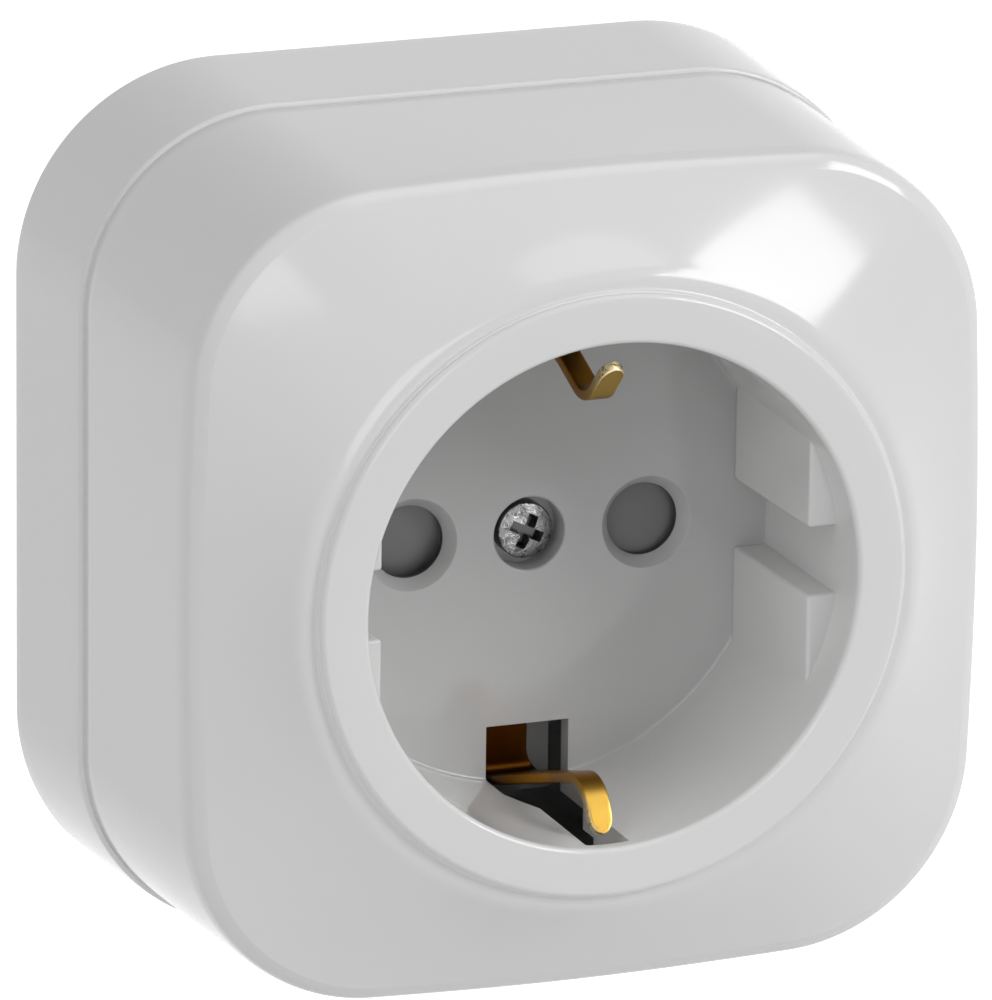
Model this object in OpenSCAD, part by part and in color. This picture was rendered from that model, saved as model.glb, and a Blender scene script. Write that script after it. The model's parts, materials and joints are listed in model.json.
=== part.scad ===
/* [Housing] */
// Width and height of the socket where it meets the wall
body_side = 66.2; // [64:0.2:72]
// Depth from the wall to the face ring
body_depth = 41.2; // [39:0.1:44]
// Radius of the rounded corners at the wall
corner_radius = 16; // [13:0.2:19]
// Thickness of the outer walls
wall = 2; // [1.6:0.1:2.4]
// Depth of the base box behind the cover
base_depth = 13.2; // [11:0.1:15]
// How far each side of the base leans in from the wall to its front
base_lean = 0.65; // [0.3:0.05:1]
// Edge radius round the front and the back of the base
base_edge = 0.35; // [0.3:0.05:0.6]
// Set-back of the cover from the front edge of the base
cover_ledge = 0.35; // [0.2:0.05:0.9]
// How far each side of the cover leans in towards its rim
cover_lean = 0.2; // [0.1:0.05:0.8]
// Share of a circle that bows the four sides of the cover at its rim
rim_bow = 0.1; // [0:0.01:0.2]
// Distance from the face ring back to the start of the rim
rim_setback = 7.3; // [6.4:0.1:7.8]
// Radius of the rim between the sides and the face
rim_radius = 2.4; // [1.8:0.1:2.8]

/* [Face ring] */
// Width of the ring round the mouth
ring_width = 3.8; // [3.2:0.1:4.6]
// Height of the ring above the face
ring_step = 0.8; // [0.7:0.05:1]
// Edge radius of the ring and of the mouth
ring_edge = 0.45; // [0.3:0.05:0.6]
// Radius of the fillet where the ring meets the face
ring_fillet = 0.25; // [0.15:0.05:0.3]

/* [Plug well] */
// Radius of the plug well
well_radius = 19.5; // [19.3:0.1:19.8]
// Depth of the well behind the face ring
well_depth = 17.8; // [17.5:0.1:18.2]
// Thickness of the well floor
floor_wall = 1.5; // [1.2:0.1:1.8]
// Thickness of the tube round the well
tube_wall = 2; // [1.6:0.1:2.2]
// Distance between the two pin holes
pin_spacing = 19; // [19:0.1:19.4]
// Radius of a pin hole
pin_hole = 2.85; // [2.6:0.05:3]
// Radius of the sink round a pin hole
pin_sink = 3.55; // [3.3:0.05:3.8]
// Depth of the sink round a pin hole
pin_sink_depth = 1; // [0.4:0.1:1]
// Distance between the facing guide blocks at the well floor
guide_gap = 33.3; // [32.8:0.1:34]
// How far a guide block leans out towards the mouth
guide_lean = 0.4; // [0.2:0.1:0.6]
// Distance from the face ring back to the guide blocks
guide_setback = 4; // [3:0.1:6]
// Width of the slot between two guide blocks
guide_slot = 5.3; // [5:0.1:5.8]
// Radius of the screw hole in the well floor
screw_hole = 2.85; // [2.6:0.05:3]

/* [Earth cut-outs] */
// Width of an earth cut-out at the well floor
cutout_wide = 6.7; // [6:0.1:7.4]
// Width of an earth cut-out near the mouth
cutout_narrow = 3.5; // [3.1:0.1:4]
// Distance from the middle of the floor to an earth cut-out
cutout_start = 15; // [14.8:0.1:15.4]
// Depth of an earth cut-out beyond the well wall
cutout_depth = 2.6; // [2.4:0.1:3]
// Distance from the face ring back to the end of an earth cut-out
cutout_setback = 1.1; // [0.9:0.1:1.3]
// Length of the narrow part of an earth cut-out
cutout_narrow_length = 9.4; // [8.8:0.1:10]
// Length of the slanted part between the two widths
cutout_slant = 3.5; // [2.5:0.1:4]

/* [Earth contact] */
// Thickness of the earth contact sheet
earth_sheet = 0.8; // [0.6:0.05:0.9]
// Inner radius of a bend in that sheet
earth_bend = 0.6; // [0.4:0.05:0.8]
// Width of a spring finger
finger_width = 2.15; // [1.8:0.05:2.4]
// Width of the strip that joins the fingers
earth_strip = 3.8; // [3.6:0.1:4]
// Sideways shift of that strip from the middle
earth_shift = 1.2; // [1:0.1:1.3]
// Distance from the middle to the corner of a finger's crest
finger_crest = 14.4; // [14.2:0.1:14.8]
// Distance from the face ring back to the crest of a finger
finger_crest_setback = 4; // [3.8:0.1:4.6]
// Inner radius of the bend at the crest of a finger
crest_bend = 1.1; // [0.8:0.1:1.3]
// Distance from the middle to the tip of a finger
finger_tip = 19; // [18.4:0.1:19.4]
// Distance from the face ring back to the tip of a finger
finger_tip_setback = 2.1; // [1.9:0.1:2.4]
// Rise of a finger along its length, in degrees
finger_rise = 20; // [18:0.5:21]
// Length over which a finger narrows behind its crest
finger_taper = 4; // [3:0.5:6]

/* [Shutter] */
// Thickness of the shutter
shutter_thickness = 1.5; // [1.2:0.1:1.8]
// Running gap in front of the shutter and behind it
shutter_gap = 0.2; // [0.15:0.05:0.3]
// Radius of the tube that the shutter turns on
pivot_radius = 4.2; // [4:0.1:4.6]
// Running clearance of the shutter on that tube
pivot_clearance = 0.08; // [0.05:0.01:0.1]
// Radius of the shutter's hub
hub_radius = 6.6; // [6.2:0.1:6.8]
// Half of the angle that a shutter wing covers
wing_angle = 20; // [19:0.5:21]
// Height of the wedge that a plug pin pushes along
wing_ramp = 0.8; // [0.5:0.1:1]
// Wire radius of the shutter spring
spring_wire = 0.13; // [0.1:0.01:0.15]
// Coil radius of the shutter spring
spring_radius = 0.7; // [0.6:0.02:0.72]
// Number of turns of the shutter spring
spring_turns = 7; // [5:1:8]

/* [Contact carrier] */
// Width of the contact carrier
carrier_width = 45; // [44:0.5:48]
// Height of the contact carrier
carrier_height = 25.6; // [25:0.2:26]
// Thickness of the brass contacts
contact_sheet = 0.8; // [0.6:0.05:0.9]
// Height of a contact pocket
pocket_height = 10.4; // [10.2:0.1:10.8]
// Depth of a contact pocket behind the carrier's front
pocket_depth = 9.6; // [9.4:0.1:10.2]
// Free gap between a contact and its pocket
contact_gap = 0.3; // [0.2:0.05:0.4]
// Gap between the two leaves that grip a pin
leaf_gap = 4.5; // [4.3:0.1:4.7]
// Length of a leaf along the pin
leaf_length = 8; // [7:0.1:8.6]
// Height of a leaf above and below the pin's axis
leaf_reach = 3.6; // [3.2:0.1:3.8]
// Thickness of the steel spring round the leaves
grip_sheet = 0.4; // [0.3:0.05:0.5]
// Length of that spring along the pin
grip_length = 3; // [2.5:0.1:3.5]
// Distance from the middle to a pin terminal's screw
terminal_x = 17.6; // [17.4:0.1:18]
// Height of the post that carries the carrier on the base
post_height = 6; // [5:0.5:7]

/* [Earth terminal] */
// Height of the earth contact's side tab
earth_tab = 5; // [4.5:0.1:5.4]
// Distance from the middle to the earth terminal's screw
earth_tab_x = 13.8; // [13.4:0.1:14]
// Distance below the middle to the earth terminal's screw
earth_tab_drop = 9.4; // [9.2:0.1:9.6]
// Depth of the earth terminal behind the carrier's front
earth_tab_depth = 8.1; // [7.6:0.1:8.6]

/* [Fasteners] */
// Radius of the cover screw's head
cover_head = 2.2; // [2.1:0.05:2.3]
// Height of the cover screw's head
cover_head_height = 1.9; // [1.6:0.1:2.2]
// Radius of the cover screw's shank
cover_shank = 1.45; // [1.3:0.05:1.5]
// Set-back of the cover screw's head from the well floor
cover_head_setback = 0.4; // [0.2:0.1:0.8]
// Height of the domed top of the cover screw's head
cover_dome = 0.5; // [0.3:0.05:0.7]
// Width of the cross recess in the cover screw
cross_width = 0.85; // [0.7:0.05:1]
// Distance from the screw's axis to the end of the cross
cross_reach = 1.45; // [1.2:0.05:1.6]
// Turn of the cross, in degrees
cross_turn = 25; // [0:1:90]
// Side of the square nut behind the cover screw
nut_side = 5.5; // [5:0.1:5.6]
// Thickness of that nut
nut_thickness = 2.4; // [2:0.1:2.6]
// Radius of a terminal screw's shank
terminal_shank = 1.7; // [1.5:0.05:1.8]
// Radius of a terminal screw's head
terminal_head = 2.8; // [2.6:0.05:2.9]
// Height of a terminal screw's head
terminal_head_height = 2.2; // [1.8:0.1:2.4]
// Side of a square clamp plate
clamp_side = 6.6; // [6.2:0.1:6.8]
// Thickness of a clamp plate
clamp_thickness = 1; // [0.8:0.05:1.1]
// Radius of a carrier screw's shank
carrier_shank = 1.2; // [1:0.05:1.3]
// Radius of a carrier screw's head
carrier_head = 2.3; // [2:0.05:2.4]
// Height of a carrier screw's head
carrier_head_height = 1.8; // [1.4:0.1:2]
// Distance between the two wall screw holes
wall_hole_spacing = 46; // [45:0.5:48]
// Radius of a wall screw hole
wall_hole = 2.2; // [1.9:0.05:2.4]
// Radius of the cable entry in the underside
cable_entry = 4; // [3.5:0.1:4.2]

/* [Hidden] */
$fn = 96;

// Small overlap that lets a cut run past a face
past = 0.5;
// Gap between a screw's shank and the hole it is threaded into
thread_gap = 0.05;
// Gap round a screw's shank in a hole it passes through
shank_gap = 0.25;
// Gap between two faces that slide together when the socket is put together
fit_gap = 0.15;
// Distance between the tip of an inner screw and the base's floor
screw_tip_gap = 0.5;

// Depths, measured along Y from the wall at zero towards the front
face_y = -body_depth;
foot_y = face_y + ring_step;
rim_y = face_y + rim_setback;
floor_y = face_y + well_depth;
floor_back_y = floor_y + floor_wall;
shutter_y = floor_back_y + shutter_gap;
shutter_back_y = shutter_y + shutter_thickness;
carrier_y = shutter_back_y + shutter_gap;
pocket_y = carrier_y + pocket_depth;
tab_front_y = pocket_y - contact_sheet;
leaf_front_y = pocket_y - leaf_length;
post_top_y = -wall - post_height;
screw_tip_y = -wall - screw_tip_gap;

// Half sides of the outlines from the wall to the rim
back_half = body_side / 2;
step_half = back_half - base_lean;
cover_back_half = step_half - cover_ledge;
rim_half = cover_back_half - cover_lean;
base_inner = step_half - wall;
cover_inner = rim_half - wall;

// Ring round the mouth and its foot on the face
ring_radius = well_radius + ring_width;
foot_radius = ring_radius + ring_step;

// Number of flat steps round an outline, round the rim and across the face
skin_steps = 60;
rim_steps = 4;
face_steps = 4;
// Angle through which the rim turns before the face takes over
rim_turn = 60;
// Share of the face's rise that bends like a pillow
pillow = 0.15;

function corner_at(half) = corner_radius - (back_half - half);

// Distance from the middle to a rounded square's outline, in the direction a
function square_reach(half, a) =
    let (r = corner_at(half), c = half - r,
         hi = max(abs(cos(a)), abs(sin(a))), lo = min(abs(cos(a)), abs(sin(a))))
    half * lo / hi <= c ? half / hi
        : c * (hi + lo) + sqrt(r * r - c * c * (hi - lo) * (hi - lo));

// The same for an outline whose sides bow outwards
function outline_reach(half, bow, a) = square_reach(half, a) * (1 - bow) + half * bow;

// A row is [y, half side, bow] and, on the face, [.., share of the circle, circle radius]
function row_reach(row, a) =
    let (square = outline_reach(row[1], row[2], a))
    len(row) > 3 ? square * (1 - row[3]) + row[4] * row[3] : square;
function skin_row(row) = [for (i = [0 : skin_steps - 1])
    let (a = 360 * i / skin_steps, reach = row_reach(row, a))
    [reach * cos(a), row[0], reach * sin(a)]];

// Closed solid through rows that run from the back to the front
module skin(rows) {
    n = skin_steps;
    last = len(rows) - 1;
    ring = n * (last + 1);
    points = concat([for (row = rows) each skin_row(row)],
                    [[0, rows[0][0], 0], [0, rows[last][0], 0]]);
    sides = [for (j = [0 : last - 1], i = [0 : n - 1])
        let (a = j * n + i, b = j * n + (i + 1) % n)
        each [[a, b + n, b], [a, a + n, b + n]]];
    ends = [for (i = [0 : n - 1]) let (k = (i + 1) % n)
        each [[i, k, ring], [last * n + k, last * n + i, ring + 1]]];
    polyhedron(points = points, faces = concat(sides, ends));
}

// Straight prism with a rounded square outline, from y0 to y1
module square_prism(half, y0, y1) {
    r = corner_at(half);
    c = half - r;
    along(y0, y1 - y0) {
        square([2 * half, 2 * c], center = true);
        square([2 * c, 2 * half], center = true);
        for (x = [-c, c], z = [-c, c]) translate([x, z]) circle(r);
    }
}

// Flat shape in X and Z, given its depth along Y from y0 to y0 + length
module along(y0, length) {
    translate([0, y0 + length, 0]) rotate([90, 0, 0]) linear_extrude(length) children();
}

// Flat profile in Y and Z, extruded along X between x0 and x1
module across(x0, x1) {
    translate([x0, 0, 0]) rotate([90, 0, 90]) linear_extrude(x1 - x0) children();
}

// Round bar or hole along Y from y0 to y1
module rod(r, y0, y1) {
    translate([0, y0, 0]) rotate([-90, 0, 0]) cylinder(r = r, h = y1 - y0);
}

// Cone along Y with radius r0 at y0 and r1 at y1
module cone(r0, r1, y0, y1) {
    translate([0, y0, 0]) rotate([-90, 0, 0]) cylinder(r1 = r0, r2 = r1, h = y1 - y0);
}

// Block between two corners
module block(low, high) {
    translate(low) cube(high - low);
}

// The children and their mirror image
module mirrored(axis) {
    children();
    mirror(axis) children();
}

// Quarter arc round (cx, cy) from the angle a0 to the angle a1
function arc(cx, cy, r, a0, a1, n = 3) = [for (i = [0 : n])
    let (a = a0 + (a1 - a0) * i / n) [cx + r * cos(a), cy + r * sin(a)]];

// Bent strips: a path of straight runs with a centre line radius at each bend
function unit(v) = v / norm(v);
function bend(a, b, c, r, n) =
    let (u = unit(a - b), v = unit(c - b), half = acos(u * v) / 2, turn = 180 - 2 * half,
         centre = b + unit(u + v) * r / sin(half),
         p = b + u * r / tan(half) - centre, q = b + v * r / tan(half) - centre)
    [for (i = [0 : n]) centre + (p * sin(turn * (1 - i / n)) + q * sin(turn * i / n)) / sin(turn)];
function bent_path(p, radii, n) = [p[0],
    for (i = [1 : len(p) - 2]) each bend(p[i - 1], p[i], p[i + 1], radii[i - 1], n),
    p[len(p) - 1]];
function path_side(path, offset) = [for (i = [0 : len(path) - 1])
    let (d = unit(path[min(i + 1, len(path) - 1)] - path[max(i - 1, 0)]))
    path[i] + offset * [-d.y, d.x]];
module strip(path, thickness) {
    left = path_side(path, thickness / 2);
    right = path_side(path, -thickness / 2);
    polygon(concat(left, [for (i = [len(right) - 1 : -1 : 0]) right[i]]));
}

// Base box that is screwed to the wall
wall_hole_z = wall_hole_spacing / 2;
wall_boss_width = 2;
wall_boss_height = 0.8;
cable_y = -base_depth / 2;
post_radius = 2.8;
post_x = 18.6;
post_z = 9.2;

module base_skin() {
    // The edge is a short chamfer in two steps
    e = base_edge;
    turn = e * 0.3;
    skin([[0, back_half - e, 0],
          [-turn, back_half - turn, 0],
          [-e, back_half, 0],
          [-base_depth + e, step_half, 0],
          [-base_depth + turn, step_half - turn, 0],
          [-base_depth, step_half - e, 0]]);
}

// Places its children at the two posts that carry the contact carrier
module at_posts() {
    for (side = [-1, 1]) translate([side * post_x, 0, side * post_z]) children();
}

module base() color("gainsboro") {
    difference() {
        union() {
            difference() {
                base_skin();
                square_prism(base_inner, -base_depth - past, -wall);
            }
            at_posts() rod(post_radius, post_top_y, -wall + past);
            mirrored([0, 0, 1]) translate([0, 0, wall_hole_z])
                rod(wall_hole + wall_boss_width, -wall - wall_boss_height, -wall + past);
        }
        at_posts() rod(carrier_shank, post_top_y - past, -wall);
        mirrored([0, 0, 1]) translate([0, 0, wall_hole_z])
            rod(wall_hole, -wall - wall_boss_height - past, past);
        translate([0, cable_y, -back_half - past]) cylinder(r = cable_entry, h = 2 * wall + past);
    }
}

// Front cover with its flared sides, pillow face, face ring and plug well's tube
lip_height = 1.6;
lip_wall = 1;
cavity_front_y = rim_y + wall / 4;
cone_front_y = foot_y + wall * 1.15;
cavity_foot = foot_radius - wall / 2;
tube_radius = well_radius + tube_wall;

module cover_skin() {
    face_half = rim_half - rim_radius * (1 - cos(rim_turn));
    face_start_y = rim_y - rim_radius * sin(rim_turn);
    skin(concat(
        [[-base_depth, cover_back_half, 0]],
        [for (i = [0 : rim_steps]) let (a = rim_turn * i / rim_steps)
            [rim_y - rim_radius * sin(a), rim_half - rim_radius * (1 - cos(a)), rim_bow]],
        [for (i = [1 : face_steps]) let (t = i / face_steps, rise = (1 - pillow) * t + pillow * t * t)
            [face_start_y + (foot_y - face_start_y) * rise, face_half, rim_bow, t, foot_radius]]));
}

// Tube of the plug well and the face ring, turned from one section.
// The section's second coordinate is the distance from the wall.
module well_tube() {
    e = ring_edge;
    f = ring_fillet;
    top = -face_y;
    foot = -foot_y;
    rotate([90, 0, 0]) rotate_extrude() polygon(concat(
        [[well_radius, -floor_y], [tube_radius, -floor_y],
         [tube_radius, foot - 2 * wall], [cavity_foot, foot - wall], [cavity_foot, foot - f]],
        arc(ring_radius + f, foot + f, f, 270, 180, 2),
        arc(ring_radius - e, top - e, e, 0, 90),
        arc(well_radius + e, top - e, e, 90, 180)));
}

module cover_cavity() {
    square_prism(cover_inner, cavity_front_y, -base_depth + past);
    cone(cavity_foot, cover_inner, cone_front_y, cavity_front_y);
    rod(tube_radius, face_y, cavity_front_y);
}

// Guide blocks stand in from the well wall on both sides
module guide_blocks() {
    half = guide_gap / 2;
    reach = well_radius + past;
    front_y = face_y + guide_setback;
    intersection() {
        rod(reach, front_y, floor_y);
        mirrored([1, 0, 0]) difference() {
            translate([0, 0, -reach]) linear_extrude(2 * reach)
                polygon([[half, floor_y + past], [half, floor_y], [half + guide_lean, front_y - past],
                         [reach + past, front_y - past], [reach + past, floor_y + past]]);
            block([0, front_y - 2 * past, -guide_slot / 2],
                  [reach + 2 * past, floor_y, guide_slot / 2]);
        }
    }
}

// Plan of an earth cut-out: wide at the floor, slanted, then narrow
module cutout_plan() {
    end = face_y + cutout_setback;
    narrow = end + cutout_narrow_length;
    wide = narrow + cutout_slant;
    x0 = cutout_narrow / 2;
    x1 = cutout_wide / 2;
    polygon([[-x0, end], [x0, end], [x0, narrow], [x1, wide], [x1, floor_back_y + past],
             [-x1, floor_back_y + past], [-x1, wide], [-x0, narrow]]);
}

module earth_cutouts() {
    mirrored([0, 0, 1]) translate([0, 0, cutout_start])
        linear_extrude(well_radius + cutout_depth - cutout_start) cutout_plan();
}

module pin_holes() {
    mirrored([1, 0, 0]) translate([fork_x, 0, 0]) {
        rod(pin_hole, floor_y - past, floor_back_y + past);
        cone(pin_sink, pin_hole, floor_y, floor_y + pin_sink_depth);
    }
}

// Lip that reaches inside the base and keeps the cover in line
module cover_lip() {
    half = base_inner - fit_gap;
    difference() {
        square_prism(half, -base_depth - past, -base_depth + lip_height);
        square_prism(half - lip_wall, -base_depth - 2 * past, -base_depth + lip_height + past);
    }
}

module front_cover() color("whitesmoke") {
    difference() {
        union() {
            difference() {
                cover_skin();
                cover_cavity();
            }
            well_tube();
            guide_blocks();
            cover_lip();
        }
        earth_cutouts();
    }
}

// Floor of the plug well, with the tube that the shutter turns on behind it
module well_floor() color("whitesmoke") {
    difference() {
        union() {
            rod(tube_radius, floor_y, floor_back_y);
            rod(pivot_radius, floor_y + past, carrier_y);
        }
        earth_cutouts();
        pin_holes();
        rod(screw_hole, floor_y - past, head_seat_y);
        rod(cover_shank + shank_gap, head_seat_y - past, carrier_y + past);
    }
}

// Live and neutral contacts: two leaves that grip a pin, and a terminal tab
fork_x = pin_spacing / 2;
leaf_outer = leaf_gap / 2 + contact_sheet;
tab_end = carrier_width / 2 - 1;
funnel_depth = 1.5;

module pin_contact() {
    difference() {
        union() {
            along(leaf_front_y, leaf_length) translate([fork_x, 0]) difference() {
                hoop(leaf_outer, leaf_reach + contact_sheet, leaf_reach);
                hoop(leaf_gap / 2, leaf_reach, leaf_reach);
            }
            block([fork_x + leaf_outer - contact_sheet, tab_front_y, -leaf_reach],
                  [tab_end, pocket_y, leaf_reach]);
        }
        translate([fork_x, 0, 0])
            cone(leaf_outer, leaf_gap / 2 - past, leaf_front_y - past / 4, leaf_front_y + funnel_depth);
        translate([terminal_x, 0, 0]) rod(terminal_shank, tab_front_y - past, pocket_y + past);
    }
}

// Arch with straight legs: half its width, its top and the length of its legs
module hoop(half, top, leg) {
    translate([-half, -leg]) square([2 * half, leg + top - half]);
    translate([0, top - half]) circle(half);
}

module live_contact() color("goldenrod") mirror([1, 0, 0]) pin_contact();

module neutral_contact() color("goldenrod") pin_contact();

// Steel springs that press the leaves together
grip_gap = 0.05;
grip_setback = 2;
grip_short = 1;
grip_inner = leaf_outer + grip_gap;
grip_outer = grip_inner + grip_sheet;
grip_top = leaf_reach + contact_sheet + grip_gap;

module grip_spring() {
    leg = leaf_reach - grip_short;
    translate([fork_x, 0, 0]) along(leaf_front_y + grip_setback, grip_length) difference() {
        hoop(grip_outer, grip_top + grip_sheet, leg);
        hoop(grip_inner, grip_top, leg);
    }
}

module live_grip_spring() color("lightsteelblue") mirror([1, 0, 0]) grip_spring();

module neutral_grip_spring() color("lightsteelblue") grip_spring();

// Earth contact: one folded strip with a spring finger at each end
leg_y = floor_back_y + shutter_gap + earth_sheet / 2;
leg_back_y = leg_y + earth_sheet / 2;
groove_depth = earth_sheet + shutter_gap;
bar_y = carrier_y + groove_depth - earth_sheet / 2;
bar_half = carrier_height / 2 + 2 * contact_gap;
// Height that the jog from the leg back to the bar takes up
jog_z = 0.9;
bar_wide = earth_shift + earth_strip / 2;
crest_y = face_y + finger_crest_setback;
heel_z = finger_crest + (leg_y - crest_y) * tan(finger_rise);
bend_line = earth_bend + earth_sheet / 2;
crest_line = crest_bend + earth_sheet / 2;
bend_steps = 4;

earth_path = [[face_y + finger_tip_setback, finger_tip], [crest_y, finger_crest],
    [leg_y, heel_z], [leg_y, bar_half + jog_z], [bar_y, bar_half], [bar_y, 0]];

module earth_profile() {
    strip(bent_path(earth_path, [crest_line, bend_line, bend_line, bend_line], bend_steps),
          earth_sheet);
}

// Plan of the strip: a narrow finger that widens to the leg
module earth_plan() {
    right = earth_strip / 2 - earth_shift;
    half = finger_width / 2;
    start = crest_y + finger_taper;
    polygon([[-half, face_y], [half, face_y], [half, start], [right, leg_y - earth_sheet],
             [right, leg_back_y], [bar_wide, bar_y - earth_sheet / 2], [bar_wide, 0],
             [-bar_wide, 0], [-bar_wide, leg_y - earth_sheet], [-half, start]]);
}

// Front view of a finger with its rounded tip
module finger_front() {
    tip_z = finger_tip + earth_sheet / 2 - finger_width / 2;
    joint_y = crest_y + finger_taper / 2;
    block([-2 * earth_strip, joint_y, 0], [2 * earth_strip, 0, back_half]);
    block([-finger_width, face_y, 0], [finger_width, joint_y + past, tip_z]);
    translate([0, 0, tip_z]) rod(finger_width / 2, face_y, joint_y + past);
}

module earth_half() {
    intersection() {
        across(-2 * earth_strip, 2 * earth_strip) earth_profile();
        linear_extrude(back_half) earth_plan();
        finger_front();
    }
}

// Tab that drops into the carrier and takes the earth terminal screw
earth_tab_y = carrier_y + earth_tab_depth;
earth_tab_z = -earth_tab_drop;
earth_tab_end = earth_tab_x + clamp_side / 2;
earth_drop_x = 6;

module earth_side_tab() {
    mid_y = earth_tab_y - earth_sheet / 2;
    translate([0, 0, earth_tab_z - earth_tab / 2]) linear_extrude(earth_tab)
        strip(bent_path([[-earth_shift, bar_y], [earth_drop_x, bar_y],
                         [earth_drop_x, mid_y], [earth_tab_end, mid_y]],
                        [bend_line, bend_line], bend_steps), earth_sheet);
}

module earth_contact() color("gold") {
    difference() {
        union() {
            mirrored([0, 0, 1]) earth_half();
            earth_side_tab();
        }
        rod(cover_shank + shank_gap, carrier_y - past, carrier_y + groove_depth + past);
        translate([earth_tab_x, 0, earth_tab_z])
            rod(terminal_shank, earth_tab_y - earth_sheet - past, earth_tab_y + past);
    }
}

// Dark moulding that holds the contacts
pocket_inner = fork_x - grip_outer - contact_gap;
nut_y = carrier_y + groove_depth;
nut_front_gap = fit_gap;
counterbore = 2.6;
web = 2;
tongue_depth = 6;
tongue_short = 1;
tongue_back_y = carrier_y + tongue_depth;
tongue_reach = well_radius + cutout_depth - tongue_short;
bore_end_y = -wall - screw_tip_gap / 2;

module carrier_pockets() {
    mirrored([1, 0, 0]) {
        block([pocket_inner, carrier_y - past, -pocket_height / 2],
              [carrier_width / 2 + past, pocket_y, pocket_height / 2]);
        translate([fork_x, 0, 0]) rod(pin_hole, pocket_y - past, bore_end_y);
        translate([terminal_x, 0, 0]) rod(terminal_shank + contact_gap, pocket_y - past, bore_end_y);
    }
}

// Pocket for the earth terminal, open below for its wire
module earth_pocket() {
    top_z = earth_tab_z + clamp_side / 2 + contact_gap;
    tab_half = earth_tab / 2 + contact_gap;
    block([earth_drop_x - contact_gap - contact_sheet, carrier_y - past, -carrier_height],
          [earth_tab_end + contact_gap, earth_tab_y, top_z]);
    block([-earth_shift, carrier_y - past, earth_tab_z - tab_half],
          [earth_drop_x, nut_y, earth_tab_z + tab_half]);
    translate([earth_tab_x, 0, earth_tab_z])
        rod(terminal_shank + contact_gap, earth_tab_y - past, bore_end_y);
}

// Tongues that stand behind the earth cut-outs and carry the legs
module carrier_tongues() {
    half = earth_strip / 2 + wall;
    mirrored([0, 0, 1]) translate([-earth_shift, 0, 0]) {
        block([-half, carrier_y, 0], [half, tongue_back_y, tongue_reach]);
        block([-half, leg_back_y, bar_half], [half, tongue_back_y, tongue_reach]);
    }
}

// Groove for the earth bar and pocket for the nut behind it
module bar_groove() {
    half_x = bar_wide + contact_gap;
    half_z = bar_half + jog_z + contact_gap;
    block([-half_x, leg_back_y - past, -half_z], [half_x, nut_y, half_z]);
    block([-nut_side / 2 - nut_front_gap, nut_y - past, -nut_side / 2 - nut_front_gap],
          [nut_side / 2 + nut_front_gap, nut_y + nut_thickness + fit_gap, nut_side / 2 + nut_front_gap]);
    rod(cover_shank + shank_gap, carrier_y, cover_tip_y + shank_gap);
}

module contact_carrier() color("dimgray") {
    difference() {
        union() {
            block([-carrier_width / 2, carrier_y, -carrier_height / 2],
                  [carrier_width / 2, -wall, carrier_height / 2]);
            carrier_tongues();
        }
        carrier_pockets();
        bar_groove();
        at_posts() {
            rod(counterbore, carrier_y - past, post_top_y - web);
            rod(carrier_shank + shank_gap, carrier_y, past);
            rod(post_radius + contact_gap, post_top_y, past);
        }
        earth_pocket();
    }
    spring_post();
}

// Shutter: a hub on the cover's tube with two wings that close the pin holes
wing_reach = fork_x + pin_hole + past;
lug_x = -5;
lug_width = 1.6;
spring_z = 9.4;
lug_rise = 1.3;
lug_top = spring_z + lug_rise;
spring_layer_y = (floor_back_y + carrier_y) / 2;
spring_touch = 0.02;
post_face_x = 5.2;
post_half = 1.2;

module wing() {
    half = wing_reach * tan(wing_angle);
    intersection() {
        across(hub_radius - 1, wing_reach)
            polygon([[shutter_y, -half], [shutter_y + wing_ramp, half],
                     [shutter_back_y, half], [shutter_back_y, -half]]);
        along(shutter_y, shutter_thickness)
            polygon([[0, 0], [wing_reach, -half], [wing_reach, half]]);
        rod(wing_reach, shutter_y, shutter_back_y);
    }
}

module shutter() color("dimgray") {
    difference() {
        union() {
            rod(hub_radius, shutter_y, shutter_back_y);
            for (turn = [0, 180]) rotate([0, turn, 0]) wing();
            block([lug_x - lug_width, shutter_y, 0], [lug_x, shutter_back_y, lug_top]);
        }
        rod(pivot_radius + pivot_clearance, shutter_y - past, shutter_back_y + past);
    }
}

// Post on the carrier that the shutter spring pushes against
module spring_post() {
    block([post_face_x, shutter_y, spring_z - post_half],
          [post_face_x + lug_width, carrier_y + past, spring_z + post_half]);
}

// Coil spring between the shutter's lug and the post
module shutter_spring() color("silver") {
    sides = 5;
    steps = 10;
    start = lug_x + spring_wire + spring_touch;
    length = post_face_x - spring_wire - spring_touch - start;
    last = spring_turns * steps;
    points = [for (i = [0 : last], j = [0 : sides - 1])
        let (a = 360 * i / steps, b = 360 * j / sides, r = spring_radius + spring_wire * cos(b))
        [start + length * i / last + spring_wire * sin(b),
         spring_layer_y + r * cos(a), spring_z + r * sin(a)]];
    walls = [for (i = [0 : last - 1], j = [0 : sides - 1])
        let (a = i * sides + j, b = i * sides + (j + 1) % sides)
        each [[a, b, b + sides], [a, b + sides, a + sides]]];
    ends = [[for (j = [sides - 1 : -1 : 0]) j], [for (j = [0 : sides - 1]) last * sides + j]];
    polyhedron(points = points, faces = concat(walls, ends));
}

// Screw along Y: a slotted head in front of its seat and a shank behind it
module slotted_screw(head, height, shank, seat_y, tip_y) {
    slot = shank / 2;
    difference() {
        union() {
            rod(head, seat_y - height, seat_y);
            rod(shank, seat_y - past, tip_y);
        }
        block([-head, seat_y - height - past, -slot / 2], [head, seat_y - height / 2, slot / 2]);
    }
}

module terminal_screw(seat_y) {
    slotted_screw(terminal_head, terminal_head_height, terminal_shank - thread_gap, seat_y, screw_tip_y);
}

module pin_terminal_screw() {
    translate([terminal_x, 0, 0]) terminal_screw(tab_front_y - clamp_thickness);
}

module live_terminal_screw() color("silver") mirror([1, 0, 0]) pin_terminal_screw();

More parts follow.
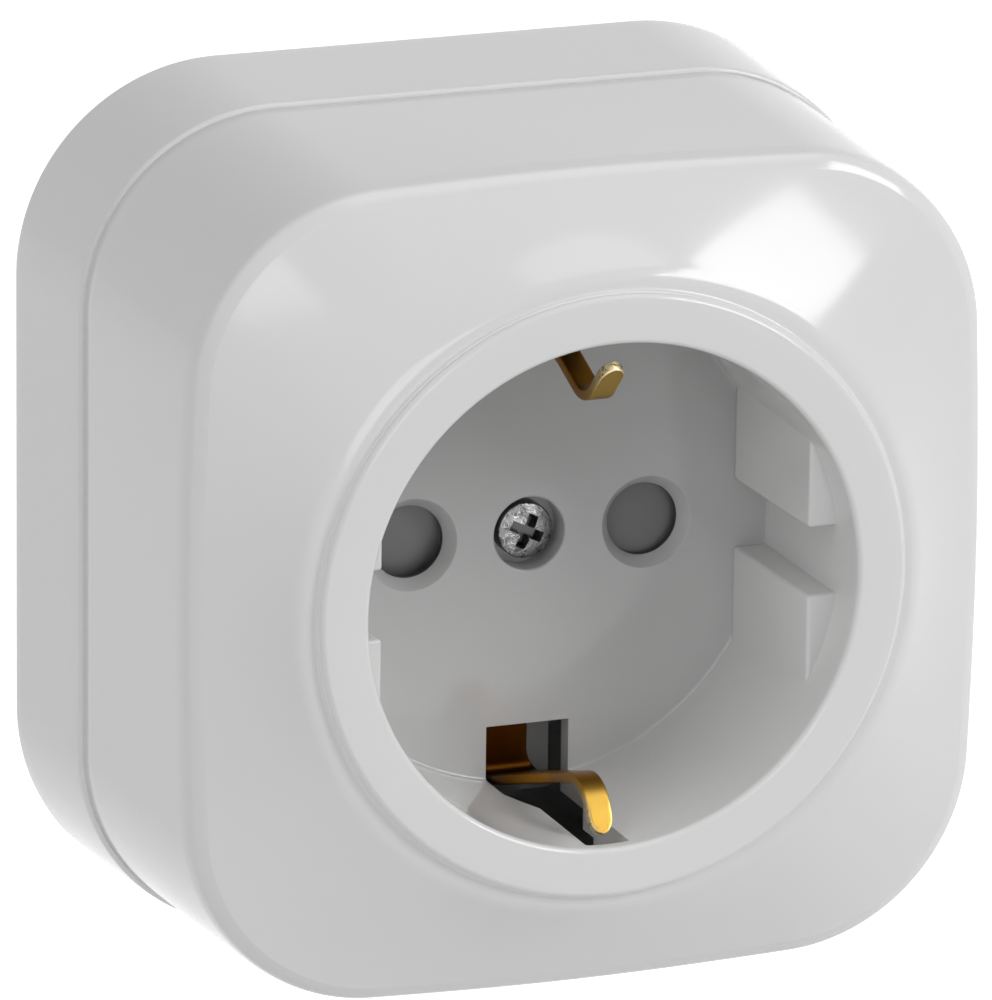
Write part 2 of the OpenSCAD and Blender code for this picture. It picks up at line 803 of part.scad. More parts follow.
module neutral_terminal_screw() color("silver") pin_terminal_screw();

module earth_terminal_screw() color("silver") {
    translate([earth_tab_x, 0, earth_tab_z])
        terminal_screw(earth_tab_y - earth_sheet - clamp_thickness);
}

// Clamp plate with clipped corners and a groove on each side for a wire
module clamp_plate(back_y) {
    half = clamp_side / 2;
    clip = half - clamp_thickness;
    groove = clamp_thickness / 2;
    groove_z = (half + terminal_shank) / 2;
    difference() {
        along(back_y - clamp_thickness, clamp_thickness)
            polygon([[half, clip], [clip, half], [-clip, half], [-half, clip],
                     [-half, -clip], [-clip, -half], [clip, -half], [half, -clip]]);
        rod(terminal_shank + fit_gap, back_y - 2 * clamp_thickness, back_y + past);
        mirrored([0, 0, 1]) across(-clamp_side, clamp_side)
            polygon([[back_y - groove, groove_z], [back_y + groove, groove_z + 2 * groove],
                     [back_y + groove, groove_z - 2 * groove]]);
    }
}

module pin_clamp_plate() {
    translate([terminal_x, 0, 0]) clamp_plate(tab_front_y);
}

module live_clamp_plate() color("lightsteelblue") mirror([1, 0, 0]) pin_clamp_plate();

module neutral_clamp_plate() color("lightsteelblue") pin_clamp_plate();

module earth_clamp_plate() color("lightsteelblue") {
    translate([earth_tab_x, 0, earth_tab_z]) rotate([0, 90, 0]) clamp_plate(earth_tab_y - earth_sheet);
}

// Cover screw with a domed head and a cross recess
head_seat_y = floor_y + cover_head_setback + cover_head_height;
head_y = head_seat_y - cover_head_height;
cover_tip_length = 3;
cover_tip_y = nut_y + nut_thickness + cover_tip_length;

module cover_screw() color("silver") {
    difference() {
        union() {
            rod(cover_head, head_y + cover_dome, head_seat_y);
            cone(cover_head - cover_dome, cover_head, head_y, head_y + cover_dome);
            rod(cover_shank, head_seat_y - past, cover_tip_y);
        }
        rotate([0, cross_turn, 0]) for (turn = [0, 90]) rotate([0, turn, 0])
            block([-cross_reach, head_y - past, -cross_width / 2],
                  [cross_reach, head_y + 2 * cover_dome, cross_width / 2]);
    }
}

module cover_nut() color("silver") {
    difference() {
        along(nut_y, nut_thickness) square(nut_side, center = true);
        rod(cover_shank + thread_gap, nut_y - past, nut_y + nut_thickness + past);
    }
}

// Screws that hold the carrier on the posts of the base
module carrier_screw(side) {
    translate([side * post_x, 0, side * post_z])
        slotted_screw(carrier_head, carrier_head_height, carrier_shank - thread_gap,
                      post_top_y - web, screw_tip_y);
}

module carrier_screw_left() color("silver") carrier_screw(-1);

module carrier_screw_right() color("silver") carrier_screw(1);

base();
front_cover();
well_floor();
contact_carrier();
shutter();
shutter_spring();
live_contact();
neutral_contact();
earth_contact();
live_terminal_screw();
neutral_terminal_screw();
earth_terminal_screw();
live_clamp_plate();
neutral_clamp_plate();
earth_clamp_plate();
cover_screw();
cover_nut();
carrier_screw_left();
carrier_screw_right();
live_grip_spring();
neutral_grip_spring();
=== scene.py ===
"""Looks of a surface-mounted power socket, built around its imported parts.

X runs to the right, Y into the wall and Z up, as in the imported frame. Shapes are worked out
in millimetres, and put_mesh turns them into metres.
"""
import json
import math

import bmesh
import bpy
import numpy as np
from mathutils import Matrix, Vector

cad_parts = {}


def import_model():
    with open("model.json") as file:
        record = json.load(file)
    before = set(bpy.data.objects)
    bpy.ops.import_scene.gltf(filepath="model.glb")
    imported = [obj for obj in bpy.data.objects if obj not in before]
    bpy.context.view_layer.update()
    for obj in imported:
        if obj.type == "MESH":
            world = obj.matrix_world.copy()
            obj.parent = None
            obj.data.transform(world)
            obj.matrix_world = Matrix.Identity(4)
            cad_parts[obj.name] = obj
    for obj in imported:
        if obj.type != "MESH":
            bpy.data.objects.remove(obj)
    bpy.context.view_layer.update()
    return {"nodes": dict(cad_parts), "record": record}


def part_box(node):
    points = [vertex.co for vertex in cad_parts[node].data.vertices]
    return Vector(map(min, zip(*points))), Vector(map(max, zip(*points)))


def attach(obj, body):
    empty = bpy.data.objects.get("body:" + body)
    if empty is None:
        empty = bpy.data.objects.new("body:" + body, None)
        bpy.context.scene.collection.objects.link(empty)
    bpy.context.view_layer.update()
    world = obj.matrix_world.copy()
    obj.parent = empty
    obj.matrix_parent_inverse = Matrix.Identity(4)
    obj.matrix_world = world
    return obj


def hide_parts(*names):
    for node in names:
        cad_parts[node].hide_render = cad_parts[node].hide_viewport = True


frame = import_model()

MM = 0.001
TURN = 2 * math.pi


def corners_of(name):
    """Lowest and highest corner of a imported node, in millimetres."""
    low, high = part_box(name)
    return np.array(low) / MM, np.array(high) / MM


BASE_LOW, BASE_HIGH = corners_of("base")
COVER_LOW, COVER_HIGH = corners_of("front_cover")
FLOOR_LOW, FLOOR_HIGH = corners_of("well_floor")
SCREW_LOW, SCREW_HIGH = corners_of("cover_screw")
EARTH_LOW, EARTH_HIGH = corners_of("earth_contact")

# Housing, from the wall to the face ring
WALL = 2.0
BACK_HALF, CORNER = BASE_HIGH[0], 16.0
BASE_DEPTH, BASE_LEAN, BASE_EDGE = -BASE_LOW[1], 0.65, 0.35
STEP_HALF = BACK_HALF - BASE_LEAN
COVER_LEDGE, COVER_LEAN = 0.35, 0.2
COVER_BACK_HALF = STEP_HALF - COVER_LEDGE
RIM_HALF = COVER_BACK_HALF - COVER_LEAN
RIM_BOW, RIM_SETBACK = 0.1, 7.8
FACE_Y = COVER_LOW[1]
RIM_Y = FACE_Y + RIM_SETBACK
PARTING_EDGE = 0.02

# Rim between side and face: turn in degrees at which each bend starts, and the bend's radius
RIM_BENDS = [(0, 8.0), (12, 0.8), (50, 5.5), (60, 0.5)]

# Posts, wall holes and cable entry of the base
WALL_HOLE, WALL_HOLE_Z, WALL_BOSS, WALL_BOSS_HEIGHT = 2.2, 23.0, 4.2, 0.8
CABLE_ENTRY = 4.0
POST_X, POST_Z, POST_RADIUS, POST_HEIGHT, POST_BORE = 18.6, 9.2, 2.8, 6.0, 1.2

# Face ring and plug well
RING_RADIUS, RING_EDGE, RING_STEP = 23.3, 0.45, 0.8
FOOT_RADIUS = RING_RADIUS + RING_STEP
FOOT_Y = FACE_Y + RING_STEP
FOOT_BEND = 1.1
FACE_BOW = 0.15
WELL_RADIUS, TUBE_WALL = 19.5, 2.0
FLOOR_Y = FLOOR_LOW[1]
FLOOR_BACK_Y = FLOOR_Y + 1.5
PIN_X, PIN_HOLE, PIN_SINK, PIN_SINK_DEPTH = 9.5, 2.85, 3.55, 1.0
SLEEVE_RADIUS, SLEEVE_GAP = 3.3, 0.04
SCREW_HOLE, SHANK_HOLE, PIVOT_RADIUS = 2.85, 1.7, 4.2
HEAD_SEAT_Y = FLOOR_Y + 2.3
PIVOT_BACK_Y = FLOOR_HIGH[1]

# Guide blocks and earth cut-outs
GUIDE_HALF, GUIDE_LEAN, GUIDE_SETBACK, GUIDE_SLOT = 16.65, 0.4, 4.0, 5.3
CUT_START, CUT_REACH = 15.0, 22.1
CUT_WIDE, CUT_NARROW = 3.35, 1.75
CUT_END_Y = FACE_Y + 1.1
CUT_NARROW_Y = CUT_END_Y + 9.4
CUT_WIDE_Y = CUT_NARROW_Y + 3.5

# Earth contact: sheet, finger and strip
EARTH_SHEET, EARTH_CORNER = 0.8, 0.13
FINGER_HALF, STRIP_LEFT, LEG_RIGHT, BAR_RIGHT = 0.95, -3.1, 0.65, 3.1
CREST_BEND, SHEET_BEND, TIP_LENGTH = 3.2, 1.0, 1.45
UPPER_TIP, UPPER_CREST, UPPER_RISE = (FACE_Y + 0.9, 17.7), (FACE_Y + 4.9, 13.8), 21.0
LOWER_TIP, LOWER_CREST, LOWER_RISE = (FACE_Y + 2.2, 19.1), (FACE_Y + 4.3, 15.2), 16.8
LEG_Y = FLOOR_BACK_Y + 0.6
LEG_END_Z, BAR_Z = 14.3, 13.4
BAR_Y = PIVOT_BACK_Y + 0.6
TAB_Z, TAB_HALF, TAB_X, TAB_DROP_X, TAB_HOLE = -9.4, 2.5, 13.8, 6.0, 1.7
TAB_BACK_Y = EARTH_HIGH[1]

# Cover screw
HEAD_RADIUS, HEAD_DOME, SHANK_RADIUS = 2.2, 0.5, 1.45
CROSS_WIDTH, CROSS_REACH, CROSS_DEPTH, CROSS_TURN = 0.85, 1.45, 1.1, 25.0
TICK_WIDTH, TICK_DEPTH = 0.12, 0.16


# Meshes

def put_mesh(name, vertices, faces):
    """A mesh object from points in millimetres and faces of three or more corners."""
    mesh = bpy.data.meshes.new(name)
    mesh.from_pydata((np.asarray(vertices, float) * MM).tolist(), [], faces)
    mesh.validate()
    piece = bpy.data.objects.new(name, mesh)
    bpy.context.scene.collection.objects.link(piece)
    return piece


def grid_faces(rows, columns, close_rows, close_columns, first=0):
    """Corner numbers of the quads of a grid, which may join up along either way."""
    i = np.arange(rows if close_rows else rows - 1)
    j = np.arange(columns if close_columns else columns - 1)
    i, j = (g.ravel() for g in np.meshgrid(i, j, indexing="ij"))
    k, m = (i + 1) % rows, (j + 1) % columns
    return first + np.stack(
        [i * columns + j, i * columns + m, k * columns + m, k * columns + j], 1)


def turned(radius, depth, steps, centre=(0, 0)):
    """Points of a surface turned about the Y direction through centre: at angle a and profile
    point p the place is (radius cos a, depth, radius sin a). Arrays may differ by angle."""
    angle = np.arange(steps) * TURN / steps
    radius = np.broadcast_to(radius, (steps, np.shape(radius)[-1]))
    depth = np.broadcast_to(depth, radius.shape)
    points = np.stack([centre[0] + radius * np.cos(angle)[:, None], depth,
                       centre[1] + radius * np.sin(angle)[:, None]], 2)
    return points


def closed_turning(name, radius, depth, steps, centre=(0, 0)):
    """A solid turned from a profile that starts and ends on the axis or is a closed loop."""
    points = turned(radius, depth, steps, centre)
    columns = points.shape[1]
    loop = not (np.allclose(points[:, 0, 0], centre[0]) and np.allclose(points[:, 0, 2], centre[1]))
    faces = grid_faces(steps, columns, True, loop)
    piece = put_mesh(name, points.reshape(-1, 3), faces.tolist())
    tidy(piece)
    return piece


def tidy(piece, distance=1e-7):
    """Doubles merged, and faces turned outwards."""
    bm = bmesh.new()
    bm.from_mesh(piece.data)
    bmesh.ops.remove_doubles(bm, verts=bm.verts, dist=distance)
    bmesh.ops.recalc_face_normals(bm, faces=bm.faces)
    bm.to_mesh(piece.data)
    bm.free()


def prism(name, outline, low, high, axis):
    """A straight solid: the outline's points, extruded along axis 0, 1 or 2 from low to high."""
    outline = np.asarray(outline, float)
    n = len(outline)
    points = np.concatenate([np.insert(outline, axis, level, 1) for level in (low, high)])
    i = np.arange(n)
    k = (i + 1) % n
    sides = np.stack([i, k, k + n, i + n], 1).tolist()
    piece = put_mesh(name, points, sides + [i.tolist(), (i[::-1] + n).tolist()])
    tidy(piece)
    return piece


def round_bar(name, radius, low, high, centre):
    """A plain round solid along Y about centre, between two depths."""
    return closed_turning(name, np.array([0, radius, radius, 0]),
                          np.array([low, low, high, high]), 64, centre)


def merged(name, pieces):
    """One object from several, which are removed."""
    bm = bmesh.new()
    for piece in pieces:
        bm.from_mesh(piece.data)
        bpy.data.objects.remove(piece)
    mesh = bpy.data.meshes.new(name)
    bm.to_mesh(mesh)
    bm.free()
    whole = bpy.data.objects.new(name, mesh)
    bpy.context.scene.collection.objects.link(whole)
    return whole


def carve(piece, tool, operation="DIFFERENCE"):
    """Cuts the tool from the piece, or joins it on, and removes the tool."""
    step = piece.modifiers.new("carve", "BOOLEAN")
    step.operation, step.solver, step.object = operation, "EXACT", tool
    depsgraph = bpy.context.evaluated_depsgraph_get()
    result = bpy.data.meshes.new_from_object(piece.evaluated_get(depsgraph))
    piece.modifiers.clear()
    old, piece.data = piece.data, result
    bpy.data.meshes.remove(old)
    bpy.data.objects.remove(tool)


def smooth(piece, sharp_degrees=32):
    """Smooth shading that breaks at the edges that turn by more than sharp_degrees."""
    mesh = piece.data
    mesh.polygons.foreach_set("use_smooth", np.ones(len(mesh.polygons), bool))
    mesh.set_sharp_from_angle(angle=math.radians(sharp_degrees))


def soften(piece, width, segments=3, angle=40):
    """Rounds every edge of a piece that turns by more than angle degrees."""
    bm = bmesh.new()
    bm.from_mesh(piece.data)
    edges = [e for e in bm.edges if e.is_manifold and e.calc_face_angle(0) > math.radians(angle)]
    bmesh.ops.bevel(bm, geom=edges, offset=width * MM, segments=segments, profile=0.5,
                    affect="EDGES")
    bm.to_mesh(piece.data)
    bm.free()


def arc(centre, radius, start, end, count):
    """Points on a circle from the angle start to the angle end, in degrees."""
    a = np.radians(np.linspace(start, end, count))
    return np.stack([centre[0] + radius * np.cos(a), centre[1] + radius * np.sin(a)], 1)


def line(start, end, count):
    """Evenly spaced points from start to just before end."""
    return np.linspace(start, end, count, endpoint=False)


# Housing

def square_reach(half, corner, angle):
    """Distance from the middle to a rounded square's outline: half / cos a on a straight side,
    and the far crossing with the corner circle near a diagonal."""
    centre = half - corner
    high = np.maximum(abs(np.cos(angle)), abs(np.sin(angle)))
    low = np.minimum(abs(np.cos(angle)), abs(np.sin(angle)))
    inside = np.maximum(corner ** 2 - centre ** 2 * (high - low) ** 2, 0)
    return np.where(half * low <= centre * high, half / high,
                    centre * (high + low) + np.sqrt(inside))


def outline_reach(half, angle, bow=0.0):
    """Reach of the housing's outline of a given half side. All outlines share corner centres,
    and bow is the share of a circle mixed in, which bends the sides outwards."""
    return square_reach(half, CORNER - (BACK_HALF - half), angle) * (1 - bow) + half * bow


def rim_fall(turn):
    """How far the rim has come in and forward when its line has turned by an angle. Each bend of
    radius r adds r (cos start - cos turn) inwards and r (sin turn - sin start) forwards."""
    starts = np.radians([start for start, radius in RIM_BENDS] + [180])
    inwards = forwards = 0
    for (_, radius), start, end in zip(RIM_BENDS, starts, starts[1:]):
        reached = np.clip(turn, start, end)
        inwards = inwards + radius * (math.cos(start) - np.cos(reached))
        forwards = forwards + radius * (np.sin(reached) - math.sin(start))
    return inwards, forwards


def cover_outside(angle):
    """Radius and depth of the cover's outside from its back edge to the ring's foot.

    The sides lean straight in from the plain outline at the back to the bowed outline at the
    rim. The rim turns in two tight bends with a flatter band between them, until it meets the
    face's slope, which is steeper over the sides than over the corners. The face rises by (1 - bow) t + bow t squared, and over
    its last stretch to the ring, of length L, the slope m fades out as m s squared / 2 L."""
    a = angle[:, None]
    edge = np.radians(np.linspace(0, 90, 5))
    edge_half = COVER_BACK_HALF - PARTING_EDGE * (1 - np.sin(edge))
    edge_y = -BASE_DEPTH - PARTING_EDGE * (1 - np.cos(edge))
    reach = outline_reach(RIM_HALF, angle, RIM_BOW)
    side = np.linspace(0, 1, 12)[None, 1:]
    side_radius = (outline_reach(COVER_BACK_HALF, a) * (1 - side) + reach[:, None] * side)
    side_y = edge_y[-1] + (RIM_Y - edge_y[-1]) * side[0]

    lean = np.cos(np.arctan(np.gradient(reach, angle) / reach))
    turn = np.full_like(angle, math.radians(65))
    for _ in range(4):
        inwards, forwards = rim_fall(turn)
        start = outline_reach(RIM_HALF - inwards, angle, RIM_BOW)
        rise = RIM_Y - forwards - FOOT_Y
        turn = np.arctan2((start - FOOT_RADIUS) * lean, (1 - FACE_BOW) * rise)
    inwards, forwards = rim_fall(np.linspace(0, 1, 33)[None, 1:] * turn[:, None])
    rim_radius = outline_reach(RIM_HALF - inwards, a, RIM_BOW)
    rim_y = RIM_Y - forwards

    start, start_y = rim_radius[:, -1], rim_y[:, -1:]
    rise = start_y - FOOT_Y
    span = start[:, None] - FOOT_RADIUS
    t = 1 - np.linspace(1, 0, 40)[None, 1:] ** 1.3
    face_radius = start[:, None] - span * t
    face_y = start_y - rise * ((1 - FACE_BOW) * t + FACE_BOW * t * t)
    slope = rise * (1 + FACE_BOW) / span
    near = np.clip(face_radius - FOOT_RADIUS, 0, FOOT_BEND)
    face_y = face_y + slope * ((FOOT_BEND - near) ** 2 / FOOT_BEND - FOOT_BEND * t ** 3) / 2
    radius = np.hstack([outline_reach(edge_half[None], a), side_radius, rim_radius, face_radius])
    depth = np.hstack([np.broadcast_to(np.concatenate([edge_y, side_y]),
                                       (len(angle), len(edge_y) + len(side_y))), rim_y, face_y])
    return radius, depth


def ring_and_well():
    """Profile from the ring's foot over the ring, down the well, along its floor, through the
    screw hole, back behind the floor and up the outside of the well's tube."""
    e = RING_EDGE
    fillet = 0.25
    floor_round = 0.25
    wall_foot = RING_RADIUS + 0.12
    tube = WELL_RADIUS + TUBE_WALL
    foot = arc((wall_foot + fillet, FOOT_Y - fillet), fillet, 90, 180, 6)
    shoulder = arc((RING_RADIUS - e, FACE_Y + e), e, 0, -90, 9)
    mouth = arc((WELL_RADIUS + e, FACE_Y + e), e, 270, 180, 9)
    well = line((WELL_RADIUS, FACE_Y + e + 0.6), (WELL_RADIUS, FLOOR_Y - floor_round), 30)
    corner = arc((WELL_RADIUS - floor_round, FLOOR_Y - floor_round), floor_round, 0, 90, 5)
    floor = line((WELL_RADIUS - 1, FLOOR_Y), (SCREW_HOLE + 0.6, FLOOR_Y), 14)
    hole = arc((SCREW_HOLE + 0.2, FLOOR_Y + 0.2), 0.2, 270, 180, 5)
    behind = np.array([(SCREW_HOLE, HEAD_SEAT_Y), (SHANK_HOLE, HEAD_SEAT_Y),
                       (SHANK_HOLE, PIVOT_BACK_Y), (PIVOT_RADIUS, PIVOT_BACK_Y),
                       (PIVOT_RADIUS, FLOOR_BACK_Y), (tube, FLOOR_BACK_Y), (tube, RIM_Y + 0.5)])
    return np.concatenate([foot, shoulder, mouth, well, corner, floor, hole, behind])


def cover_shell():
    """The cover as one closed sheet: outside, ring, well, back of the floor and inside walls."""
    steps = 400
    angle = np.arange(steps) * TURN / steps
    radius, depth = cover_outside(angle)
    profile = ring_and_well()
    inner_half = RIM_HALF - WALL
    inner = outline_reach(inner_half, angle)[:, None]
    radius = np.hstack([radius, np.broadcast_to(profile[:, 0], (steps, len(profile))),
                        inner, inner])
    depth = np.hstack([depth, np.broadcast_to(profile[:, 1], (steps, len(profile))),
                       np.full((steps, 1), RIM_Y + 0.5), np.full((steps, 1), -BASE_DEPTH)])
    return closed_turning("cover", radius, depth, steps)


def guide_blocks():
    """Four blocks beside the well wall. In plan each is bounded by a leaning plane, by the slot
    and by a circle inside the tube's wall; they run from the floor to their setback."""
    outer = WELL_RADIUS + 0.8
    front, back = FACE_Y + GUIDE_SETBACK, FLOOR_Y + 0.7
    slot = GUIDE_SLOT / 2
    blocks = []
    for side_x in (-1, 1):
        for side_z in (-1, 1):
            rows = []
            for y, plane in ((back, GUIDE_HALF), (front, GUIDE_HALF + GUIDE_LEAN)):
                top = math.acos(plane / outer)
                low = math.asin(slot / outer)
                a = np.linspace(low, top, 14)
                ring = np.stack([outer * np.cos(a), np.full(14, y), outer * np.sin(a)], 1)
                rows.append(np.vstack([ring, [(plane, y, slot)]]))
            n = len(rows[0])
            i = np.arange(n)
            k = (i + 1) % n
            faces = np.stack([i, k, k + n, i + n], 1).tolist() + [i.tolist(), (i + n).tolist()]
            block = put_mesh("block", np.vstack(rows) * (side_x, 1, side_z), faces)
            tidy(block)
            soften(block, 0.3, 4)
            blocks.append(block)
    return merged("blocks", blocks)


def well_cuts():
    """Tools for the pin holes with their sinks and sleeve seats, and for both earth cut-outs."""
    tools = []
    sink_end = FLOOR_Y + PIN_SINK_DEPTH
    for side in (-1, 1):
        profile = np.array([(0, FLOOR_Y - 1), (PIN_SINK + 0.12, FLOOR_Y - 1),
                            (PIN_SINK + 0.12, FLOOR_Y - 0.02), (PIN_SINK, FLOOR_Y + 0.06),
                            (PIN_HOLE + 0.04, sink_end - 0.06), (PIN_HOLE, sink_end),
                            (PIN_HOLE, sink_end + 0.04), (SLEEVE_RADIUS, sink_end + 0.04),
                            (SLEEVE_RADIUS, FLOOR_BACK_Y + 1), (0, FLOOR_BACK_Y + 1)])
        tools.append(closed_turning("tool", profile[:, 0], profile[:, 1], 96,
                                    (side * PIN_X, 0)))
        end = FLOOR_BACK_Y + 1
        plan = [(-CUT_NARROW, CUT_END_Y), (CUT_NARROW, CUT_END_Y), (CUT_NARROW, CUT_NARROW_Y),
                (CUT_WIDE, CUT_WIDE_Y), (CUT_WIDE, end), (-CUT_WIDE, end),
                (-CUT_WIDE, CUT_WIDE_Y), (-CUT_NARROW, CUT_NARROW_Y)]
        low, high = sorted((side * CUT_START, side * CUT_REACH))
        tools.append(prism("tool", plan, low, high, 2))
    return merged("cuts", tools)


def front_cover():
    cover = cover_shell()
    carve(cover, guide_blocks(), "UNION")
    carve(cover, well_cuts())
    smooth(cover)
    return cover


def pin_sleeves():
    """Two short dark tubes that line the pin holes behind their sinks. They are near black, darker
    than the shutter, as painted shade on the holes' walls.
    """
    front = FLOOR_Y + PIN_SINK_DEPTH + SLEEVE_GAP
    back = FLOOR_BACK_Y + SLEEVE_GAP
    outer = SLEEVE_RADIUS - SLEEVE_GAP
    profile = np.array([(PIN_HOLE, front), (outer, front), (outer, back), (PIN_HOLE, back)])
    sleeves = [closed_turning("sleeve", profile[:, 0], profile[:, 1], 96, (side * PIN_X, 0))
               for side in (-1, 1)]
    whole = merged("pin_sleeves", sleeves)
    smooth(whole)
    return whole


def base_box():
    """The base as one closed sheet: back, sides with rounded edges, front edge, inner walls and
    inner floor. Posts and bosses are joined on, then the holes are cut."""
    steps = 400
    angle = np.arange(steps) * TURN / steps
    e = BASE_EDGE
    back = arc((BACK_HALF - e, -e), e, 90, 0, 8)
    front = arc((STEP_HALF - e, -BASE_DEPTH + e), e, 0, -90, 8)
    side = line(back[-1], front[0], 10)[1:]
    inner_half = STEP_HALF - WALL
    half = np.concatenate([back[:, 0], side[:, 0], front[:, 0], [inner_half, inner_half]])
    y = np.concatenate([back[:, 1], side[:, 1], front[:, 1], [-BASE_DEPTH, -WALL]])
    radius = outline_reach(half[None], angle[:, None])
    zero = np.zeros((steps, 1))
    radius = np.hstack([zero, radius, zero])
    y = np.concatenate([[0], y, [-WALL]])
    base = closed_turning("base_box", radius, y, steps)

    post_top = -WALL - POST_HEIGHT
    boss_top = -WALL - WALL_BOSS_HEIGHT
    added, cuts = [], []
    for side in (-1, 1):
        post_at, hole_at = (side * POST_X, side * POST_Z), (0, side * WALL_HOLE_Z)
        added.append(round_bar("post", POST_RADIUS, post_top, -WALL / 2, post_at))
        added.append(round_bar("boss", WALL_BOSS, boss_top, -WALL / 2, hole_at))
        cuts.append(round_bar("bore", POST_BORE, post_top - 1, -WALL, post_at))
        cuts.append(round_bar("hole", WALL_HOLE, boss_top - 1, 1, hole_at))
    a = np.arange(64) * TURN / 64
    cable = np.stack([CABLE_ENTRY * np.cos(a), -BASE_DEPTH / 2 + CABLE_ENTRY * np.sin(a)], 1)
    cuts.append(prism("cable", cable, -BACK_HALF - 1, -BACK_HALF + 2 * WALL, 2))
    carve(base, merged("posts", added), "UNION")
    carve(base, merged("cuts", cuts))
    smooth(base)
    return base


# Metal parts

def eased(s, knots, values):
    """A curve through values at knots that is level at each knot: between two of them it goes
    as 3 u squared - 2 u cubed."""
    knots, values = np.asarray(knots, float), np.asarray(values, float)
    k = np.clip(np.searchsorted(knots, s, side="right") - 1, 0, len(knots) - 2)
    u = np.clip((s - knots[k]) / (knots[k + 1] - knots[k]), 0, 1)
    return values[k] + (values[k + 1] - values[k]) * u * u * (3 - 2 * u)


def bent_line(corners, radii, steps):
    """Points of a line whose inner corners are arcs. An arc of radius r starts r / tan(half the
    corner's angle) before the corner, and its points turn evenly about its centre."""
    corners = [np.asarray(c, float) for c in corners]
    points = [corners[0][None]]
    for before, at, after, radius in zip(corners, corners[1:], corners[2:], radii):
        u, v = (before - at) / np.linalg.norm(before - at), (after - at) / np.linalg.norm(after - at)
        half = math.acos(np.clip(u @ v, -1, 1)) / 2
        centre = at + (u + v) / np.linalg.norm(u + v) * radius / math.sin(half)
        p, q = at + u * radius / math.tan(half) - centre, at + v * radius / math.tan(half) - centre
        turn = math.pi - 2 * half
        w = np.linspace(0, 1, steps)[:, None]
        points.append(centre + (p * np.sin(turn * (1 - w)) + q * np.sin(turn * w)) / math.sin(turn))
    points.append(corners[-1][None])
    return np.concatenate(points)


def sheet_section(half_width, middle):
    """Across and through places of a flat bar's section, one row for each half width. The long
    faces carry a few points and the four edges are rounded."""
    across = np.array([1.0, 0.8, 0.4, 0.0, -0.4, -0.8, -1.0])
    a = np.radians([90, 60, 30, 0])
    half = EARTH_SHEET / 2
    radius = np.minimum(EARTH_CORNER, half_width)[:, None]
    flat = half_width[:, None] - radius
    top = flat * across
    right_out, left_out = flat + radius * np.cos(a[1:]), -flat - radius * np.cos(a[1:])
    through_out = half - EARTH_CORNER + EARTH_CORNER * np.sin(a[1:])
    rows = np.ones((len(half_width), 1))
    x = np.hstack([top[:, ::-1], right_out, right_out[:, ::-1], top, left_out, left_out[:, ::-1]])
    h = np.hstack([half * np.ones_like(top), through_out * rows, -through_out[::-1] * rows,
                   -half * np.ones_like(top), -through_out * rows, through_out[::-1] * rows])
    return x + middle[:, None], h


def swept_sheet(name, path, left, right, from_tip):
    """A flat bar carried along a path in Y and Z, with its own left and right edge at each
    point. Its edge attribute is 1 along the rims and fades to 0 inside, and its tip attribute
    is 1 at the tips and fades with the distance from them."""
    tangent = np.gradient(path, axis=0)
    tangent /= np.linalg.norm(tangent, axis=1)[:, None]
    normal = np.stack([-tangent[:, 1], tangent[:, 0]], 1)
    half_width = (right - left) / 2
    x, h = sheet_section(half_width, (right + left) / 2)
    points = np.stack([x, path[:, :1] + normal[:, :1] * h, path[:, 1:] + normal[:, 1:] * h], 2)
    rows, columns = x.shape
    faces = grid_faces(rows, columns, False, True).tolist()
    first = list(range(columns))
    last = [(rows - 1) * columns + i for i in reversed(first)]
    piece = put_mesh(name, points.reshape(-1, 3), faces + [first, last])
    inside = half_width[:, None] - abs(x - (right + left)[:, None] / 2)
    rim = np.clip(1 - inside / 0.4, 0, 1)
    tip = np.clip(1 - from_tip[:, None] / 3.5, 0, 1) * np.ones_like(x)
    for label, values in (("edge", rim), ("tip", tip)):
        attribute = piece.data.attributes.new(label, "FLOAT", "POINT")
        attribute.data.foreach_set("value", values.ravel())
    tidy(piece)
    return piece


def half_strip(tip, crest, rise):
    """Centre line and edges of half the strip, from one finger's tip to the middle of the bar.
    The line runs from the tip to the crest, out to the heel behind the floor, down the leg and
    over a jog to the bar. The tip is a half ellipse, and the strip narrows smoothly between heel
    and crest."""
    heel_z = crest[1] + (LEG_Y - crest[0]) * math.tan(math.radians(rise))
    corners = [tip, crest, (LEG_Y, heel_z), (LEG_Y, LEG_END_Z), (BAR_Y, BAR_Z), (BAR_Y, 0)]
    line_points = bent_line(corners, [CREST_BEND, SHEET_BEND, 0.5, 0.5], 40)
    run = np.concatenate([[0], np.cumsum(np.linalg.norm(np.diff(line_points, axis=0), axis=1))])
    tip_run = TIP_LENGTH * (1 - np.cos(np.linspace(0, math.pi / 2, 14)))
    s = np.concatenate([tip_run, np.linspace(TIP_LENGTH, run[-1], 260)[1:]])
    path = np.stack([np.interp(s, run, line_points[:, i]) for i in (0, 1)], 1)

    finger = math.hypot(crest[0] - tip[0], crest[1] - tip[1])
    heel = finger + math.hypot(LEG_Y - crest[0], heel_z - crest[1]) - 1.5
    leg = heel + heel_z - LEG_END_Z
    round_tip = np.sqrt(np.clip(1 - (1 - s / TIP_LENGTH).clip(0) ** 2, 0, 1))
    right = eased(s, [0, heel - 6, heel - 0.5, heel + 2.2, leg, leg + 1.2, run[-1]],
                  [FINGER_HALF, FINGER_HALF, 1.35, LEG_RIGHT, LEG_RIGHT, BAR_RIGHT, BAR_RIGHT])
    left = eased(s, [0, finger + 5, heel - 1, run[-1]],
                 [-FINGER_HALF, -FINGER_HALF, STRIP_LEFT, STRIP_LEFT])
    return path, left * round_tip, right * round_tip, s


